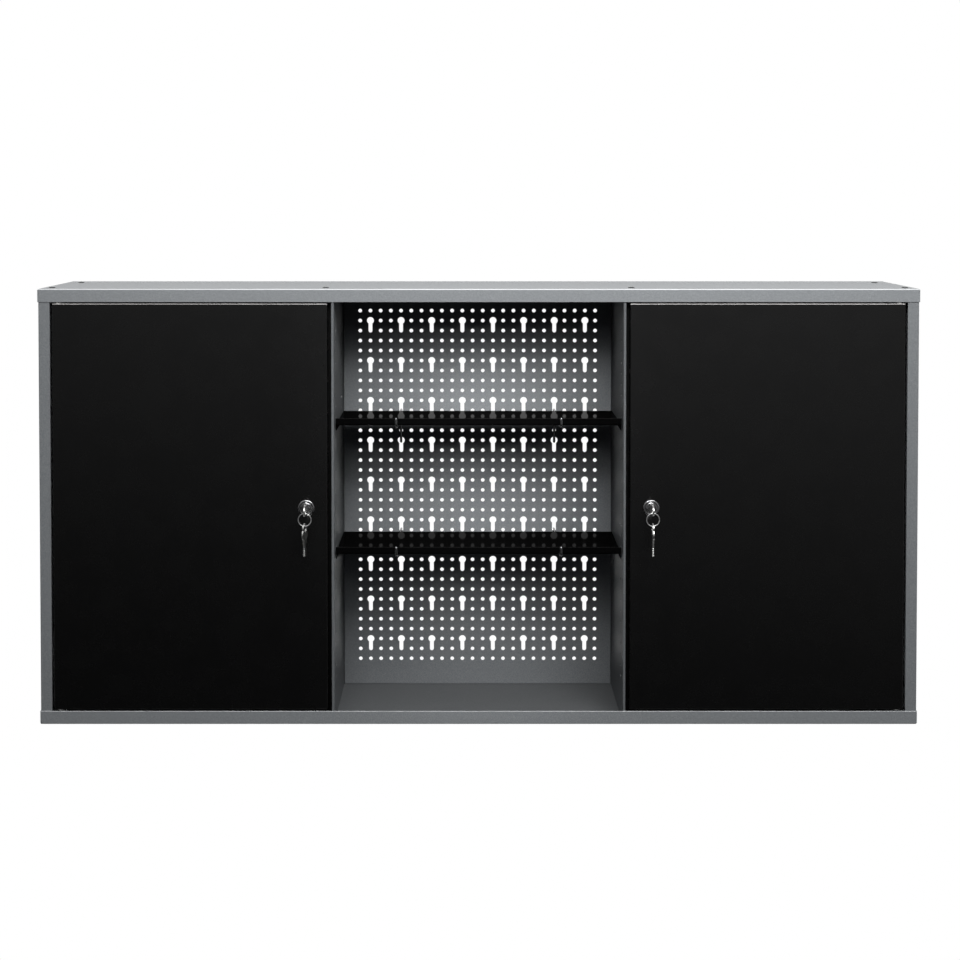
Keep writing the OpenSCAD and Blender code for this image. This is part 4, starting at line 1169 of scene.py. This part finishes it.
# Cam locks. A chrome-plated barrel with a dished round face is held by a hexagonal nut; the plug
# turns in it and carries the flat cam that catches behind the stop flange.
chrome = plated("lock_chrome", dull=(0.30, 0.30, 0.31, 1), bright=(0.46, 0.46, 0.47, 1), roughness=0.12)
rosette_radius = 11.3 * MM
bore_radius, plug_radius = 6.05 * MM, 6.0 * MM
barrel_length, plug_front, plug_back = 17.6 * MM, 1.6 * MM, 18.6 * MM
keyway = (2.2 * MM, 7.4 * MM)
for side, s in (("left", -1), ("right", 1)):
    face_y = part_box(side + "_door")[0].y

    def at_lock(x, y, z, s=s, face=face_y):
        return (s * lock_x + s * x, face - z, lock_z + y)
    shape = bmesh.new()
    profile = [(bore_radius, -barrel_length), (barrel_radius - 0.5 * MM, -barrel_length),
               (barrel_radius - 0.1 * MM, -barrel_length + 0.4 * MM)]
    for k in range(11):
        z = -barrel_length + (1.0 + 1.2 * k) * MM
        profile += [(barrel_radius - 0.02 * MM, z), (barrel_radius - 0.45 * MM, z + 0.6 * MM)]
    profile += [(barrel_radius - 0.02 * MM, -2.6 * MM), (barrel_radius - 0.02 * MM, 0)]
    profile += [(rosette_radius - 0.15 * MM, 0), (rosette_radius, 0.15 * MM), (rosette_radius, 1.0 * MM)]
    profile += [(rosette_radius - 1.4 * MM + 1.4 * MM * math.cos(a), 1.0 * MM + 1.4 * MM * math.sin(a))
                for a in (math.radians(d) for d in (18, 36, 54, 72, 90))]
    profile += [(8.7 * MM, 2.38 * MM), (8.4 * MM, 2.15 * MM), (8.1 * MM, 1.75 * MM), (7.7 * MM, 1.62 * MM),
                (7.2 * MM, 1.75 * MM), (6.9 * MM, 1.95 * MM), (6.5 * MM, 1.95 * MM), (6.2 * MM, 1.7 * MM),
                (bore_radius, 1.2 * MM)]
    turned_part(shape, profile, 64, at_lock, hollow=True)
    install(finished_object(side + "_barrel", shape, chrome), side + "_door", "lock_chrome",
            side + "_lock_barrel")
    shape = bmesh.new()
    turned_part(shape, [(plug_radius - 0.4 * MM, -plug_back), (plug_radius, -plug_back + 0.4 * MM),
                        (plug_radius, plug_front - 0.5 * MM), (plug_radius - 0.15 * MM, plug_front - 0.15 * MM),
                        (plug_radius - 0.5 * MM, plug_front), (4.6 * MM, plug_front),
                        (4.45 * MM, plug_front - 0.2 * MM), (0.4 * MM, plug_front - 0.25 * MM)], 48, at_lock)
    plug = finished_object(side + "_plug", shape, chrome)
    slot_cut = bmesh.new()
    plate(slot_cut, (s * lock_x - keyway[0] / 2, face_y - plug_front - 1 * MM, lock_z - keyway[1] / 2),
          (s * lock_x + keyway[0] / 2, face_y + 15 * MM, lock_z + keyway[1] / 2), 0.1 * MM)
    carve(plug, finished_object("keyway_cut", slot_cut, chrome))
    square_end = bmesh.new()
    square_end.from_mesh(plug.data)
    plate(square_end, (s * lock_x - 3 * MM, face_y + plug_back - 0.2 * MM, lock_z - 3 * MM),
          (s * lock_x + 3 * MM, face_y + plug_back + 2.2 * MM, lock_z + 3 * MM))
    square_end.to_mesh(plug.data)
    square_end.free()
    install(plug, side + "_lock", "lock_chrome", side + "_lock_plug")
    for node, name, ease in (("lock_nut", "nut", 0.35), ("lock_cam", "cam", 0.3),
                             ("cam_screw", "cam_fixing", 0.3)):
        body = side + ("_door" if node == "lock_nut" else "_lock")
        install_copy(f"{side}_{node}", f"{side}_{name}", zinc, ease * MM, body, "zinc_plate")


# Keys. Two stamped nickel-plated keys for each lock: one in the plug, the other hanging from it on
# a split ring.
nickel = plated("key_nickel", dull=(0.42, 0.42, 0.41, 1), bright=(0.66, 0.66, 0.65, 1), roughness=0.36,
                streak=(1, 1, 0.06))
for side in ("left", "right"):
    for node in (side + "_key", side + "_spare_key"):
        install_copy(node, node + "_stamped", nickel, 0.22 * MM, node, "key_nickel")


# Split rings. Nearly two turns of flattened spring-steel wire, closed on themselves. Each joins the
# two keys of a lock through the holes in their bows.
ring_steel = plated("ring_steel", dull=(0.62, 0.62, 0.62, 1), bright=(0.88, 0.88, 0.88, 1), roughness=0.34)
bow_hole = 23.1 * MM
ring_radius = 8.65 * MM
ring_middle = 11.75 * MM
ring_half_wide, ring_half_thick = 0.66 * MM, 0.30 * MM
ring_turns, steps_per_turn = 1.92, 56
steps = int(steps_per_turn * ring_turns)
crossing_start, crossing_length = 0.42, 0.16
coil_step = 0.62 * MM
section_sides = 12
for side, s in (("left", -1), ("right", 1)):
    ring_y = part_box(side + "_door")[0].y - bow_hole
    shape = bmesh.new()
    rings = []
    for k in range(steps + 1):
        a = math.tau * k / steps_per_turn
        rise = coil_step * (min(max((k / steps - crossing_start) / crossing_length, 0), 1) - 0.5)
        taper = 0.55 if k in (0, steps) else 1.0
        centre = Vector((s * lock_x, ring_y + rise, lock_z - ring_middle))
        outward = Vector((math.cos(a), 0, math.sin(a)))
        section = [(taper * ring_half_wide * math.cos(t), taper * ring_half_thick * math.sin(t))
                   for t in (math.tau * j / section_sides for j in range(section_sides))]
        rings.append([shape.verts.new(centre + outward * (ring_radius + u) + Vector((0, v, 0)))
                      for u, v in section])
    for one, other in zip(rings, rings[1:]):
        bridge(shape, one, other)
    shape.faces.new(rings[0])
    shape.faces.new(rings[-1])
    install(finished_object(side + "_split_ring", shape, ring_steel, merge=False), side + "_key_ring",
            "key_nickel", side + "_key_ring")
